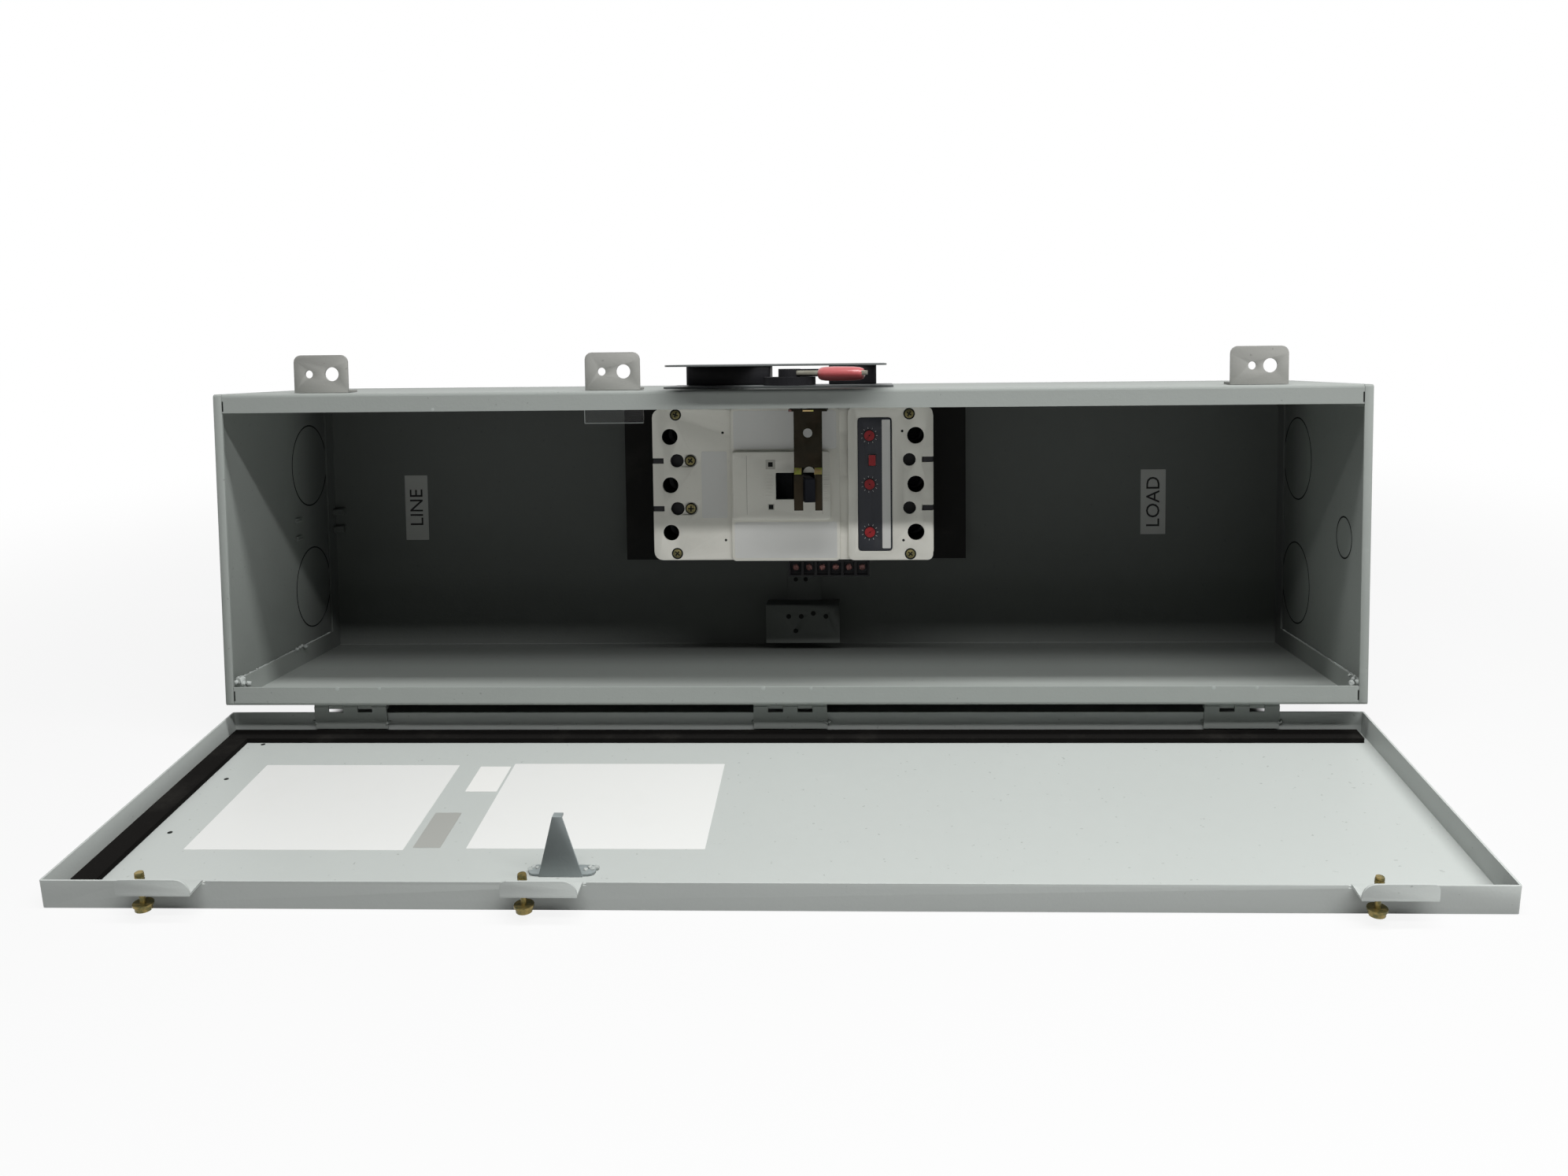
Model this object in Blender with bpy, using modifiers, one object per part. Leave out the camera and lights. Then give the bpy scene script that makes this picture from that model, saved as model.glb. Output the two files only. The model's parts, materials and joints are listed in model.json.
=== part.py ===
"""Enclosed moulded-case circuit breaker: a sheet-steel cabinet lying on its long hinge side, door open.

Sizes are millimetres in the cabinet's own axes: X along the long side from the LINE end, Y from the front
opening to the back, Z from the hinge-side wall up. Objects are built in metres under a "cabinet" empty that
leans the box back, so that its rear lower edge and the open door both lie on the floor at Z = 0.
Moving pieces are described where they would be at their joint's zero, then turned to their rest angle.
"""

import math

import bmesh
import bpy
from mathutils import Euler, Matrix, Vector

MM = 0.001
FIT = 0.3  # clearance between two solids that touch

# Cabinet
WIDTH, DEPTH, HEIGHT = 960.0, 235.0, 265.0
SHEET = 2.0
BEND = 2.5  # outer bend radius of the sheet
LIP = 15.7  # front return of the two long walls
END_LIP = 7.0  # front return of the end plates
END_FLANGE = 19.0  # inward flanges of the long walls and the back, that carry the end plates
KNOCKOUTS_Y, KNOCKOUTS_Z, KNOCKOUT_R = 180.0, (71.5, 191.0), 39.0
PILOT_Y, PILOT_Z, PILOT_R = 55.0, 132.0, 18.0
GROOVE_WIDTH, GROOVE_DEPTH = 1.4, 0.9

# Door, described shut in front of the cabinet
DOOR_SHEET = 1.5
DOOR_GAP = 3.0  # between the cabinet's walls and the door's flange
DOOR_FACE_Y = -6.0  # outer face of the shut door
FLANGE = 20.0  # height of the flange from that face
PIN_Y, PIN_Z = 20.0, -5.0
PIN_R, BARREL_R, BARREL_CLEAR = 1.6, 3.2, 0.3
LEAF = 1.5
LEAF_LENGTH, LEAF_REACH, BOX_LEAF_REACH = 63.0, 20.0, 30.0
HINGE_X = (100.3, 480.4, 862.0)
KNUCKLES = 5
GASKET_WIDTH = 18.0

# Latch tabs on the cabinet, ears on the door and the captive screws through both
EAR_X = ((56.5, 105.5), (309.0, 359.0), (857.0, 905.5))
TAB_X = ((58.6, 105.0), (308.8, 355.6), (851.0, 899.2))
SCREW_X = (71.5, 323.0, 869.0)
TAB_EYE_X = (91.2, 341.5, 884.0)
TAB_SHEET, TAB_HEIGHT, TAB_FOOT = 2.0, 32.0, 20.0
TAB_Y = 25.0
TAB_EYE_R, TAB_HOLE_R = 6.0, 3.4
EAR_REACH, EAR_LIP = 16.1, 10.0
SCREW_OUT = 11.5  # from the flange's outer face to the screw's axis
SCREW_HEAD_R, SCREW_HEAD, SCREW_R, NECK_R, WASHER_R = 5.5, 3.5, 2.75, 2.0, 6.6
SCREW_LOW, SCREW_TIP = 6.5, 33.0  # the screw's two ends, from the door's outer face
WASHER = 1.2
INTERLOCK_X, INTERLOCK_WIDTH, INTERLOCK_TIP, INTERLOCK_HIGH = 334.9, 30.5, 6.5, 46.5
INTERLOCK_Z = 230.0

# Breaker
BREAKER_X, BREAKER_Z = (350.6, 607.9), (106.1, 245.8)
BREAKER_FACE_Y, BREAKER_DEPTH = 113.7, 103.0
COVER_DEPTH, MOULDING, CORNER = 36.3, 3.0, 8.0
POLE_Z = (131.5, 175.5, 220.0)
BETWEEN_Z = (153.8, 198.0)
LINE_HOLE_X, LINE_HOLE_R, LINE_KEY_X, LINE_KEY_R, LINE_SCREW_X = 366.5, 7.4, 372.8, 6.2, 385.5
LOAD_HOLE_X, LOAD_HOLE_R, LOAD_KEY_X, LOAD_KEY_R = 591.7, 7.7, 585.9, 5.9
COVER_SCREWS = ((371.9, 240.2), (372.2, 112.2))
TRIP_SCREWS = ((585.9, 239.7), (586.5, 111.4))
COVER_SCREW_R, RECESS = 4.3, 1.6
NOTCH_LENGTH, NOTCH_WIDTH = 10.0, 5.0
DECK_X, DECK_Z, DECK = (422.9, 522.4), (105.4, 246.2), 3.0
ESCUTCHEON_X, ESCUTCHEON_Z, ESCUTCHEON = (424.5, 513.9), (143.9, 206.3), 5.0
TOGGLE_SLOT_X, TOGGLE_SLOT_Z = (464.2, 499.7), (162.8, 187.0)
SQUARE_HOLES, SQUARE = ((459.5, 194.7), (459.7, 155.8)), 3.4
TRIP_X, TRIP_Z = (530.0, 607.2), (105.8, 245.6)
PANEL_X, PANEL_Z, PANEL, PANEL_SUNK = (539.0, 570.0), (114.3, 236.5), 1.5, 0.8
DIAL_X, DIAL_R, DIAL_STEM_R, DIAL_PROUD = 549.6, 4.7, 2.0, 1.4
DIAL_ANGLES = (38.0, -32.0, 52.0)
BUTTON_X, BUTTON_Z, BUTTON_WIDTH, BUTTON_HEIGHT = 552.0, 197.5, 6.2, 9.6
BUTTON_PROUD, BUTTON_TRAVEL = 2.6, 1.5

# Toggle and the mechanism that carries it
TOGGLE_X, PIVOT_Y, TOGGLE_TIP_Y = 482.3, 135.0, 58.0
TOGGLE_WIDTH, TOGGLE_Z = 9.0, (164.5, 185.5)
TRUNNION_R, HUB_R = 2.0, 4.0
MECHANISM_X, MECHANISM_Z, MECHANISM_Y = (462.0, 502.6), (152.0, 198.0), (128.0, 210.0)
STROKE = 28.0  # travel of the toggle's end at the fork

# Yoke, guide and handle, whose shaft runs through the wall above the breaker
YOKE_X, YOKE_Y, YOKE_SHEET = (483.0, 508.0), 70.0, 2.0
FINGER_Y, FINGER_LOW, SHOULDER_LOW, SHOULDER_HIGH = 64.0, 157.0, 188.5, 194.5
FORK_WIDTH, FORK_TOP = 10.6, 190.0
YOKE_EYE, YOKE_EYE_R = (495.3, 225.0), 4.1
BAND_X, BAND_Z, BAND_BACK_Y = (478.5, 512.5), (244.0, 246.0), 109.6
CARRIER_X, CARRIER_Y, CARRIER_TOP = (486.0, 506.0), (100.2, 109.6), 259.5
ROD_R, ROD_Z, GUIDE_X = 2.5, 254.0, (436.0, 530.0)
SHAFT_X, SHAFT_Y, SHAFT_R = 478.5, 92.0, 5.0
SWING = 140.0  # handle travel from OFF to ON, in degrees
CRANK_PIN_R, CRANK_SHEET, CRANK_Z = 2.5, 3.5, 247.0
HANDLE_BASE_X, HANDLE_BASE_Y = (370.0, 571.0), (58.0, 152.0)
HANDLE_PLATE, HANDLE_BASE = 1.5, 1.5
FACE_PLATE_X, FACE_PLATE_Y, FACE_PLATE_Z = (382.0, 564.0), (-32.0, 152.0), 284.5
FACE_PLATE_CORNER = 24.0  # its two front corners
FACE_WINDOW_X, FACE_WINDOW_Y = (441.0, 552.0), (46.0, 116.0)  # where a hand reaches the lever
HOUSING_Y, HOUSING_LEFT_X, HOUSING_RIGHT_X = (118.0, 150.0), (382.0, 459.5), (513.0, 556.5)
HUB_STEP_R, HUB_TOP_R, HUB_STEP_Z, HUB_TOP_Z = 23.5, 9.9, 274.3, 281.5
LEVER_LENGTH, LEVER_WIDTH, LEVER_Z = 73.7, 9.0, (275.8, 279.8)
GRIP_R, GRIP_WIDTH, GRIP_SPAN, GRIP_Z = 6.4, 16.0, (29.0, 71.0), 276.9

# Pieces behind and beside the breaker
BACKPLATE_X, BACKPLATE_Z, BACKPLATE = (306.0, 645.0), (91.0, 256.0), 2.0
RAIL_X, RAIL_WIDTH, RAIL_Z, RAIL_SHEET = (376.0, 582.0), 26.0, (97.0, 250.0), 2.5
LUG_DEPTH, LUG_WIDTH, LUG_LENGTH, LUG_BORE_R = 32.0, 22.0, 25.0, 8.0
SHIELD_X, SHIELD_Y, SHIELD_LOW, SHIELD = (296.0, 349.0), (78.0, 98.0), 234.5, 1.5
STRIP_X, STRIP_Y, STRIP_Z, STRIP_PITCH, STRIP_WAYS = (471.0, 549.0), (170.0, 190.0), (81.0, 105.8), 12.8, 6
GROUND_TAB_X, GROUND_TAB_Z, GROUND_FOOT_X, GROUND_FOOT_Z = (466.0, 500.0), (45.0, 76.0), (446.0, 519.0), (9.0, 45.0)
GROUND_FOOT_Y, GROUND_SHEET, GROUND_HOLE_R = 203.0, 2.0, 2.0
GROUND_TAB_HOLES = ((474.5, 68.0), (484.5, 68.0))
GROUND_FOOT_HOLES = ((468.5, 35.5), (481.0, 35.5), (493.0, 38.5), (505.5, 35.5), (475.5, 21.0))

# Worked out from the sizes above
BACK_Y = DEPTH - SHEET
BREAKER_BACK_Y = BREAKER_FACE_Y + BREAKER_DEPTH
DOOR_LOW = -DOOR_GAP - DOOR_SHEET
DOOR_HIGH = HEIGHT + DOOR_GAP + DOOR_SHEET
DOOR_INNER_Y = DOOR_FACE_Y + DOOR_SHEET
FLANGE_END_Y = DOOR_FACE_Y + FLANGE
SCREW_Z = DOOR_HIGH + SCREW_OUT
TOGGLE_SWING = 2 * math.degrees(math.asin(STROKE / 2 / (PIVOT_Y - FINGER_Y)))
CRANK_R = STROKE / 2 / math.sin(math.radians(SWING / 2))
HANDLE_REST = SWING / 2 - 90.0  # turned forward from +X by this, in degrees
HEEL_Y, HEEL_Z = DEPTH - BEND, BEND  # centre of the rear lower bend, which stands on the floor
# The pin stands over the floor by the open door's flange: that and the heel give the lean.
PIN_OVER_HEEL = PIN_Y - DOOR_FACE_Y - BEND
LEAN = math.asin(PIN_OVER_HEEL / math.hypot(HEEL_Y - PIN_Y, HEEL_Z - PIN_Z)) + math.atan2(
    HEEL_Z - PIN_Z, HEEL_Y - PIN_Y
)


def leant(y, z):
    """A point of the cabinet's Y and Z after the lean, about the cabinet's own origin."""
    return y * math.cos(LEAN) + z * math.sin(LEAN), z * math.cos(LEAN) - y * math.sin(LEAN)


FRONT_Y = leant(PIN_Y, PIN_Z)[0] - (DOOR_HIGH + max(EAR_REACH, SCREW_OUT + WASHER_R) - PIN_Z)
REAR_Y = leant(HEEL_Y, HEIGHT - BEND)[0] + BEND
CABINET_AT = (-WIDTH / 2, -(FRONT_Y + REAR_Y) / 2, BEND - leant(HEEL_Y, HEEL_Z)[1])

# name: colour, roughness, metallic
LOOKS = {
    "paint": ((0.42, 0.45, 0.42), 0.5, 0.0),
    "door_paint": ((0.60, 0.63, 0.60), 0.5, 0.0),
    "steel": ((0.55, 0.55, 0.53), 0.35, 1.0),
    "zinc": ((0.62, 0.50, 0.24), 0.35, 1.0),
    "foam": ((0.03, 0.028, 0.026), 0.9, 0.0),
    "moulding": ((0.62, 0.61, 0.57), 0.5, 0.0),
    "black": ((0.02, 0.02, 0.022), 0.5, 0.0),
    "panel": ((0.06, 0.065, 0.08), 0.5, 0.0),
    "red": ((0.50, 0.03, 0.03), 0.45, 0.0),
    "grip": ((0.55, 0.14, 0.14), 0.4, 0.0),
    "clear": ((0.80, 0.82, 0.82), 0.1, 0.0),
    "aluminium": ((0.70, 0.70, 0.70), 0.4, 1.0),
}


class Frame:
    """An empty that carries pieces, with the point it stands at in the cabinet's axes."""

    def __init__(self, name, at=(0.0, 0.0, 0.0), turn=(0.0, 0.0, 0.0), parent=None):
        self.empty = bpy.data.objects.new(name, None)
        self.at = Vector(at)
        self.empty.rotation_euler = Euler([math.radians(angle) for angle in turn])
        self.empty.location = Vector(at) * MM
        if parent:
            self.empty.parent = parent.empty
            self.empty.location = (self.at - parent.at) * MM
        bpy.context.scene.collection.children["enclosed_breaker"].objects.link(self.empty)


def clear_scene():
    for item in list(bpy.data.objects):
        bpy.data.objects.remove(item, do_unlink=True)
    for name in ("enclosed_breaker", "cutters"):
        bpy.context.scene.collection.children.link(bpy.data.collections.new(name))
    bpy.data.collections["cutters"].hide_render = True


def paint(obj, look):
    colour, roughness, metallic = LOOKS[look]
    material = bpy.data.materials.new(f"{obj.name}_{look}")
    material.use_nodes = True
    shader = material.node_tree.nodes["Principled BSDF"]
    shader.inputs["Base Color"].default_value = (*colour, 1.0)
    shader.inputs["Roughness"].default_value = roughness
    shader.inputs["Metallic"].default_value = metallic
    obj.data.materials.append(material)


def stand(name, mesh, centre, frame, look):
    """An object whose origin is at the centre, given in the cabinet's axes."""
    obj = bpy.data.objects.new(name, mesh)
    bpy.data.collections["enclosed_breaker"].objects.link(obj)
    obj.parent = frame.empty
    obj.location = (Vector(centre) - frame.at) * MM
    if look:
        paint(obj, look)
        mesh.shade_smooth()
        mesh.set_sharp_from_angle(angle=math.radians(30))
    return obj


def block(name, x, y, z, frame, look=None, round_axis=None, radius=0.0, steps=3):
    """A box between three pairs of limits, with the edges along one axis rounded."""
    limits = (x, y, z)
    centre = [(low + high) / 2 for low, high in limits]
    size = [(high - low) * MM for low, high in limits]
    bm = bmesh.new()
    bmesh.ops.create_cube(bm, size=1.0)
    bmesh.ops.scale(bm, vec=size, verts=bm.verts)
    if round_axis:
        along = "XYZ".index(round_axis)
        edges = [edge for edge in bm.edges if abs((edge.verts[0].co - edge.verts[1].co)[along]) > size[along] / 2]
        bmesh.ops.bevel(bm, geom=edges, offset=radius * MM, segments=steps, profile=0.5, affect="EDGES")
    mesh = bpy.data.meshes.new(name)
    bm.to_mesh(mesh)
    bm.free()
    return stand(name, mesh, centre, frame, look)


def rod(name, centre, axis, radius, length, frame, look=None, sides=24, end_radius=None):
    """A cylinder along X, Y or Z, or a cone where the end radius differs."""
    bm = bmesh.new()
    bmesh.ops.create_cone(
        bm,
        cap_ends=True,
        segments=sides,
        radius1=radius * MM,
        radius2=(radius if end_radius is None else end_radius) * MM,
        depth=length * MM,
    )
    turn = {"X": Matrix.Rotation(math.pi / 2, 3, "Y"), "Y": Matrix.Rotation(-math.pi / 2, 3, "X")}
    if axis in turn:
        bmesh.ops.rotate(bm, matrix=turn[axis], verts=bm.verts)
    mesh = bpy.data.meshes.new(name)
    bm.to_mesh(mesh)
    bm.free()
    return stand(name, mesh, centre, frame, look)


def sheet(name, outline, axis, span, frame, look=None):
    """A plate with an outline across the axis, (y, z), (x, z) or (x, y), between two limits along it."""
    curve = bpy.data.curves.new(name, "CURVE")
    curve.dimensions = "2D"
    curve.fill_mode = "BOTH"
    curve.extrude = (span[1] - span[0]) / 2 * MM
    spline = curve.splines.new("POLY")
    spline.points.add(len(outline) - 1)
    for point, (u, v) in zip(spline.points, outline):
        point.co = (u * MM, v * MM, 0.0, 1.0)
    spline.use_cyclic_u = True
    guide = bpy.data.objects.new(name + "_outline", curve)
    bpy.context.scene.collection.objects.link(guide)
    graph = bpy.context.evaluated_depsgraph_get()
    mesh = bpy.data.meshes.new_from_object(guide.evaluated_get(graph))
    bpy.data.objects.remove(guide)
    turn = {
        "X": Matrix(((0, 0, 1), (1, 0, 0), (0, 1, 0))),
        "Y": Matrix.Rotation(math.pi / 2, 3, "X"),
        "Z": Matrix.Identity(3),
    }[axis]
    middle = (span[0] + span[1]) / 2 * MM
    along = {"X": Vector((middle, 0, 0)), "Y": Vector((0, middle, 0)), "Z": Vector((0, 0, middle))}[axis]
    mesh.transform(Matrix.Translation(along) @ turn.to_4x4())
    bm = bmesh.new()
    bm.from_mesh(mesh)
    bmesh.ops.remove_doubles(bm, verts=bm.verts, dist=0.000001)
    bmesh.ops.recalc_face_normals(bm, faces=bm.faces)
    bm.to_mesh(mesh)
    bm.free()
    mesh.materials.clear()
    return stand(name, mesh, (0.0, 0.0, 0.0), frame, look)


def arc(centre, radius, start, end, steps=6):
    """Points round an arc between two angles in degrees."""
    turns = [math.radians(start + (end - start) * step / steps) for step in range(steps + 1)]
    return [(centre[0] + radius * math.cos(turn), centre[1] + radius * math.sin(turn)) for turn in turns]


def combine(target, tools, operation="DIFFERENCE"):
    """Cuts the tools from the target, or joins them to it, and puts them away."""
    for tool in tools:
        modifier = target.modifiers.new(tool.name, "BOOLEAN")
        modifier.operation = operation
        modifier.solver = "EXACT"
        modifier.object = tool
        tool.hide_render = True
        tool.display_type = "WIRE"
        bpy.data.collections["enclosed_breaker"].objects.unlink(tool)
        bpy.data.collections["cutters"].objects.link(tool)
    return target


def spread(low, high, extra):
    return (low - extra, high + extra)


def wrapper_shell(cabinet):
    """Back, two long walls and their front lips, bent from one sheet, with flanges at both ends."""
    ends = (SHEET + FIT, WIDTH - SHEET - FIT)
    past = spread(*ends, 10)
    shell = block("wrapper_shell", ends, (0, DEPTH), (0, HEIGHT), cabinet, "paint", "X", BEND)
    inside = block("shell_inside", (ends[0] + SHEET, ends[1] - SHEET), (SHEET, BACK_Y), (SHEET, HEIGHT - SHEET),
                   cabinet, None, "X", 0.8, 2)
    end_openings = block("shell_end_openings", past, (-5, DEPTH - END_FLANGE),
                         (END_FLANGE, HEIGHT - END_FLANGE), cabinet)
    mouth = block("shell_mouth", past, (-5, SHEET + 0.6), (LIP, HEIGHT - LIP), cabinet)
    cuts = [inside, end_openings, mouth]
    for index, edge in enumerate(((-5, END_LIP + FIT), (WIDTH - END_LIP - FIT, WIDTH + 5))):
        cuts.append(block(f"shell_corner_{index}", edge, (-5, SHEET + FIT), (-5, HEIGHT + 5), cabinet))
    cuts.append(rod("shell_shaft_hole", (SHAFT_X, SHAFT_Y, HEIGHT), "Z", SHAFT_R + 3, 20, cabinet))
    return combine(shell, cuts)


def knockout_groove(name, x_face, into, y, z, radius, cabinet):
    """A ring cutter sunk into an end plate's outer face, so that the slug can be knocked out."""
    middle = x_face + into * (GROOVE_DEPTH / 2 - 1)
    ring = rod(name, (middle, y, z), "X", radius, GROOVE_DEPTH + 2, cabinet, None, 32)
    core = rod(name + "_core", (middle, y, z), "X", radius - GROOVE_WIDTH, GROOVE_DEPTH + 4, cabinet, None, 32)
    return combine(ring, [core])


def end_plate(name, outer, inward, pilots, cabinet):
    """A flat end with a narrow front return and knock-outs scored in its outer face."""
    full = sorted((outer, outer + inward * END_LIP))
    plate = block(name, full, (0, DEPTH), (0, HEIGHT), cabinet, "paint", "X", BEND)
    behind = sorted((outer + inward * SHEET, outer + inward * (END_LIP + 5)))
    cuts = [block(name + "_behind", behind, (SHEET, DEPTH + 5), (-5, HEIGHT + 5), cabinet)]
    circles = [(KNOCKOUTS_Y, z, KNOCKOUT_R) for z in KNOCKOUTS_Z] + pilots
    for index, (y, z, radius) in enumerate(circles):
        cuts.append(knockout_groove(f"{name}_groove_{index}", outer, inward, y, z, radius, cabinet))
    return combine(plate, cuts)


def latch_tab(index, cabinet):
    """An upright ear on the wall, its top bent back a little, with a screw hole and a padlock eye."""
    name = f"latch_tab_{index + 1}"
    low, high = TAB_X[index]
    base = HEIGHT + FIT
    top = base + TAB_HEIGHT
    corner = 6.0
    outline = [(low, base), (high, base)]
    outline += arc((high - corner, top - corner), corner, 0, 90, 4)
    outline += arc((low + corner, top - corner), corner, 90, 180, 4)
    tab = sheet(name, outline, "Y", (TAB_Y, TAB_Y + TAB_SHEET), cabinet, "door_paint")
    foot = block(name + "_foot", (low, high), (TAB_Y + 0.5, TAB_Y + TAB_FOOT), (base, base + TAB_SHEET), cabinet)
    brow = block(name + "_brow", (low + corner, high - corner), (TAB_Y + 0.5, TAB_Y + 5.0), (top - 1.5, top - 0.01),
                 cabinet)
    combine(tab, [foot, brow], "UNION")
    middle = TAB_Y + TAB_SHEET / 2
    hole = rod(name + "_hole", (SCREW_X[index], middle, SCREW_Z), "Y", TAB_HOLE_R, 8, cabinet, None, 20)
    eye = rod(name + "_eye", (TAB_EYE_X[index], middle, SCREW_Z), "Y", TAB_EYE_R, 8, cabinet, None, 24)
    return combine(tab, [hole, eye])


def knuckle_spans(index, turns):
    """The stretches along X of one leaf's knuckles: even turns are the door's, odd ones the cabinet's."""
    start = HINGE_X[index] - LEAF_LENGTH / 2
    pitch = LEAF_LENGTH / KNUCKLES
    return [(start + turn * pitch + FIT / 2, start + (turn + 1) * pitch - FIT / 2) for turn in turns]


def hinge_leaf(name, index, turns, plate_y, plate_z, frame):
    """A leaf with its knuckles: the plate runs to the barrel's axis only where this leaf has a knuckle."""
    start, end = HINGE_X[index] - LEAF_LENGTH / 2, HINGE_X[index] + LEAF_LENGTH / 2
    leaf = block(name, (start, end), plate_y, plate_z, frame, "paint")
    near = plate_y[0] if plate_y[0] > PIN_Y else plate_y[1]
    joins, bores = [], []
    for count, span in enumerate(knuckle_spans(index, turns)):
        centre = ((span[0] + span[1]) / 2, PIN_Y, PIN_Z)
        length = span[1] - span[0]
        reach = sorted((PIN_Y, near + (0.6 if near > PIN_Y else -0.6)))
        joins.append(block(f"{name}_arm_{count}", (span[0] + 0.02, span[1] - 0.02), reach,
                           (PIN_Z + 0.7 * BARREL_R, plate_z[1] - 0.02), frame))
        joins.append(rod(f"{name}_barrel_{count}", centre, "X", BARREL_R, length, frame, None, 12))
        bores.append(rod(f"{name}_bore_{count}", centre, "X", PIN_R + BARREL_CLEAR, length + 2, frame, None, 12))
    combine(leaf, joins, "UNION")
    return combine(leaf, bores)


def hinges(cabinet, door):
    for index, x in enumerate(HINGE_X):
        wall_side = (-FIT - LEAF, -FIT)
        flange_side = (-DOOR_GAP + FIT, -DOOR_GAP + FIT + LEAF)
        hinge_leaf(f"hinge_box_leaf_{index + 1}", index, (1, 3), (PIN_Y + 5, PIN_Y + BOX_LEAF_REACH), wall_side, cabinet)
        hinge_leaf(f"hinge_door_leaf_{index + 1}", index, (0, 2, 4), (PIN_Y - LEAF_REACH, PIN_Y - 5), flange_side, door)
        rod(f"hinge_pin_{index + 1}", (x, PIN_Y, PIN_Z), "X", PIN_R, LEAF_LENGTH - 1, cabinet, "steel", 12)


def latch_ear(index, door):
    """The ear is turned out from the flange, with its outer edge turned up against the cabinet's tab."""
    name = f"ear_{index + 1}"
    low, high = EAR_X[index]
    outer = DOOR_HIGH + EAR_REACH
    shelf = block(name, (low, high), (FLANGE_END_Y - DOOR_SHEET, FLANGE_END_Y), (DOOR_HIGH - DOOR_SHEET, outer), door)
    lip_end = FLANGE_END_Y + EAR_LIP
    left_r, right_r = (4.0, 9.0) if index < 2 else (9.0, 4.0)
    outline = [(low + 0.02, FLANGE_END_Y - DOOR_SHEET + 0.02), (high - 0.02, FLANGE_END_Y - DOOR_SHEET + 0.02)]
    outline += arc((high - 0.02 - right_r, lip_end - right_r), right_r, 0, 90, 5)
    outline += arc((low + 0.02 + left_r, lip_end - left_r), left_r, 90, 180, 5)
    lip = sheet(name + "_lip", outline, "Z", (outer - DOOR_SHEET, outer - 0.02), door)
    return [shelf, lip]


def door_pan(door):
    """A folded pan with ears turned out of its free flange and a relief notch beside each."""
    pan = block("door_pan", (DOOR_LOW, WIDTH - DOOR_LOW), (DOOR_FACE_Y, FLANGE_END_Y), (DOOR_LOW, DOOR_HIGH), door,
                "door_paint", "Y", 1.5, 2)
    hollow = block("door_hollow", (DOOR_LOW + DOOR_SHEET, WIDTH - DOOR_LOW - DOOR_SHEET),
                   (DOOR_INNER_Y, FLANGE_END_Y + 5), (DOOR_LOW + DOOR_SHEET, DOOR_HIGH - DOOR_SHEET), door)
    combine(pan, [hollow])
    for index in range(len(EAR_X)):
        combine(pan, latch_ear(index, door), "UNION")
    cuts = []
    for index, (low, high) in enumerate(EAR_X):
        side = (high + 0.3, high + 2.5) if index < 2 else (low - 2.5, low - 0.3)
        cuts.append(block(f"relief_{index}", side, (FLANGE_END_Y - 2.2, FLANGE_END_Y + 3),
                          (DOOR_HIGH - 4, DOOR_HIGH + 4), door))
        cuts.append(rod(f"ear_hole_{index}", (SCREW_X[index], FLANGE_END_Y, SCREW_Z), "Y", NECK_R + 0.45, 8, door,
                        None, 16))
    return combine(pan, cuts)


def gaskets(door):
    """Foam on three sides of the door: the LOAD end, which is the bottom on the wall, has none."""
    thick = (DOOR_INNER_Y + FIT, -FIT)
    span = (-1.0, WIDTH - 2.0)
    block("gasket_hinge_side", span, thick, (0.0, GASKET_WIDTH), door, "foam")
    block("gasket_latch_side", span, thick, (HEIGHT - GASKET_WIDTH, HEIGHT), door, "foam")
    block("gasket_line_end", (-1.0, -1.0 + GASKET_WIDTH), thick, (GASKET_WIDTH + FIT, HEIGHT - GASKET_WIDTH - FIT),
          door, "foam")


def captive_screw(index, door):
    """A slotted screw hanging in its ear by a reduced neck, with a washer under its head."""
    low, tip = DOOR_FACE_Y + SCREW_LOW, DOOR_FACE_Y + SCREW_TIP
    head_top = low + SCREW_HEAD
    neck_top = FLANGE_END_Y + 0.8
    name = f"captive_screw_{index + 1}"
    x = SCREW_X[index]
    axis = Frame(f"screw_axis_{index + 1}", (x, FLANGE_END_Y, SCREW_Z), (0, 0, 0), door)
    screw = rod(name, (x, (low + head_top) / 2, SCREW_Z), "Y", SCREW_HEAD_R, SCREW_HEAD, axis, "zinc", 20)
    joins = [
        rod(name + "_washer", (x, head_top + WASHER / 2, SCREW_Z), "Y", WASHER_R, WASHER + 0.2, axis, None, 20),
        rod(name + "_neck", (x, (low + 1 + neck_top + 1) / 2, SCREW_Z), "Y", NECK_R, neck_top - low, axis, None, 12),
        rod(name + "_thread", (x, (neck_top + tip) / 2, SCREW_Z), "Y", SCREW_R, tip - neck_top, axis, None, 12),
    ]
    combine(screw, joins, "UNION")
    slot = block(name + "_slot", (x - 7, x + 7), (low - 1, low + 1.2), spread(SCREW_Z, SCREW_Z, 0.6), axis)
    return combine(screw, [slot])


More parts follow.
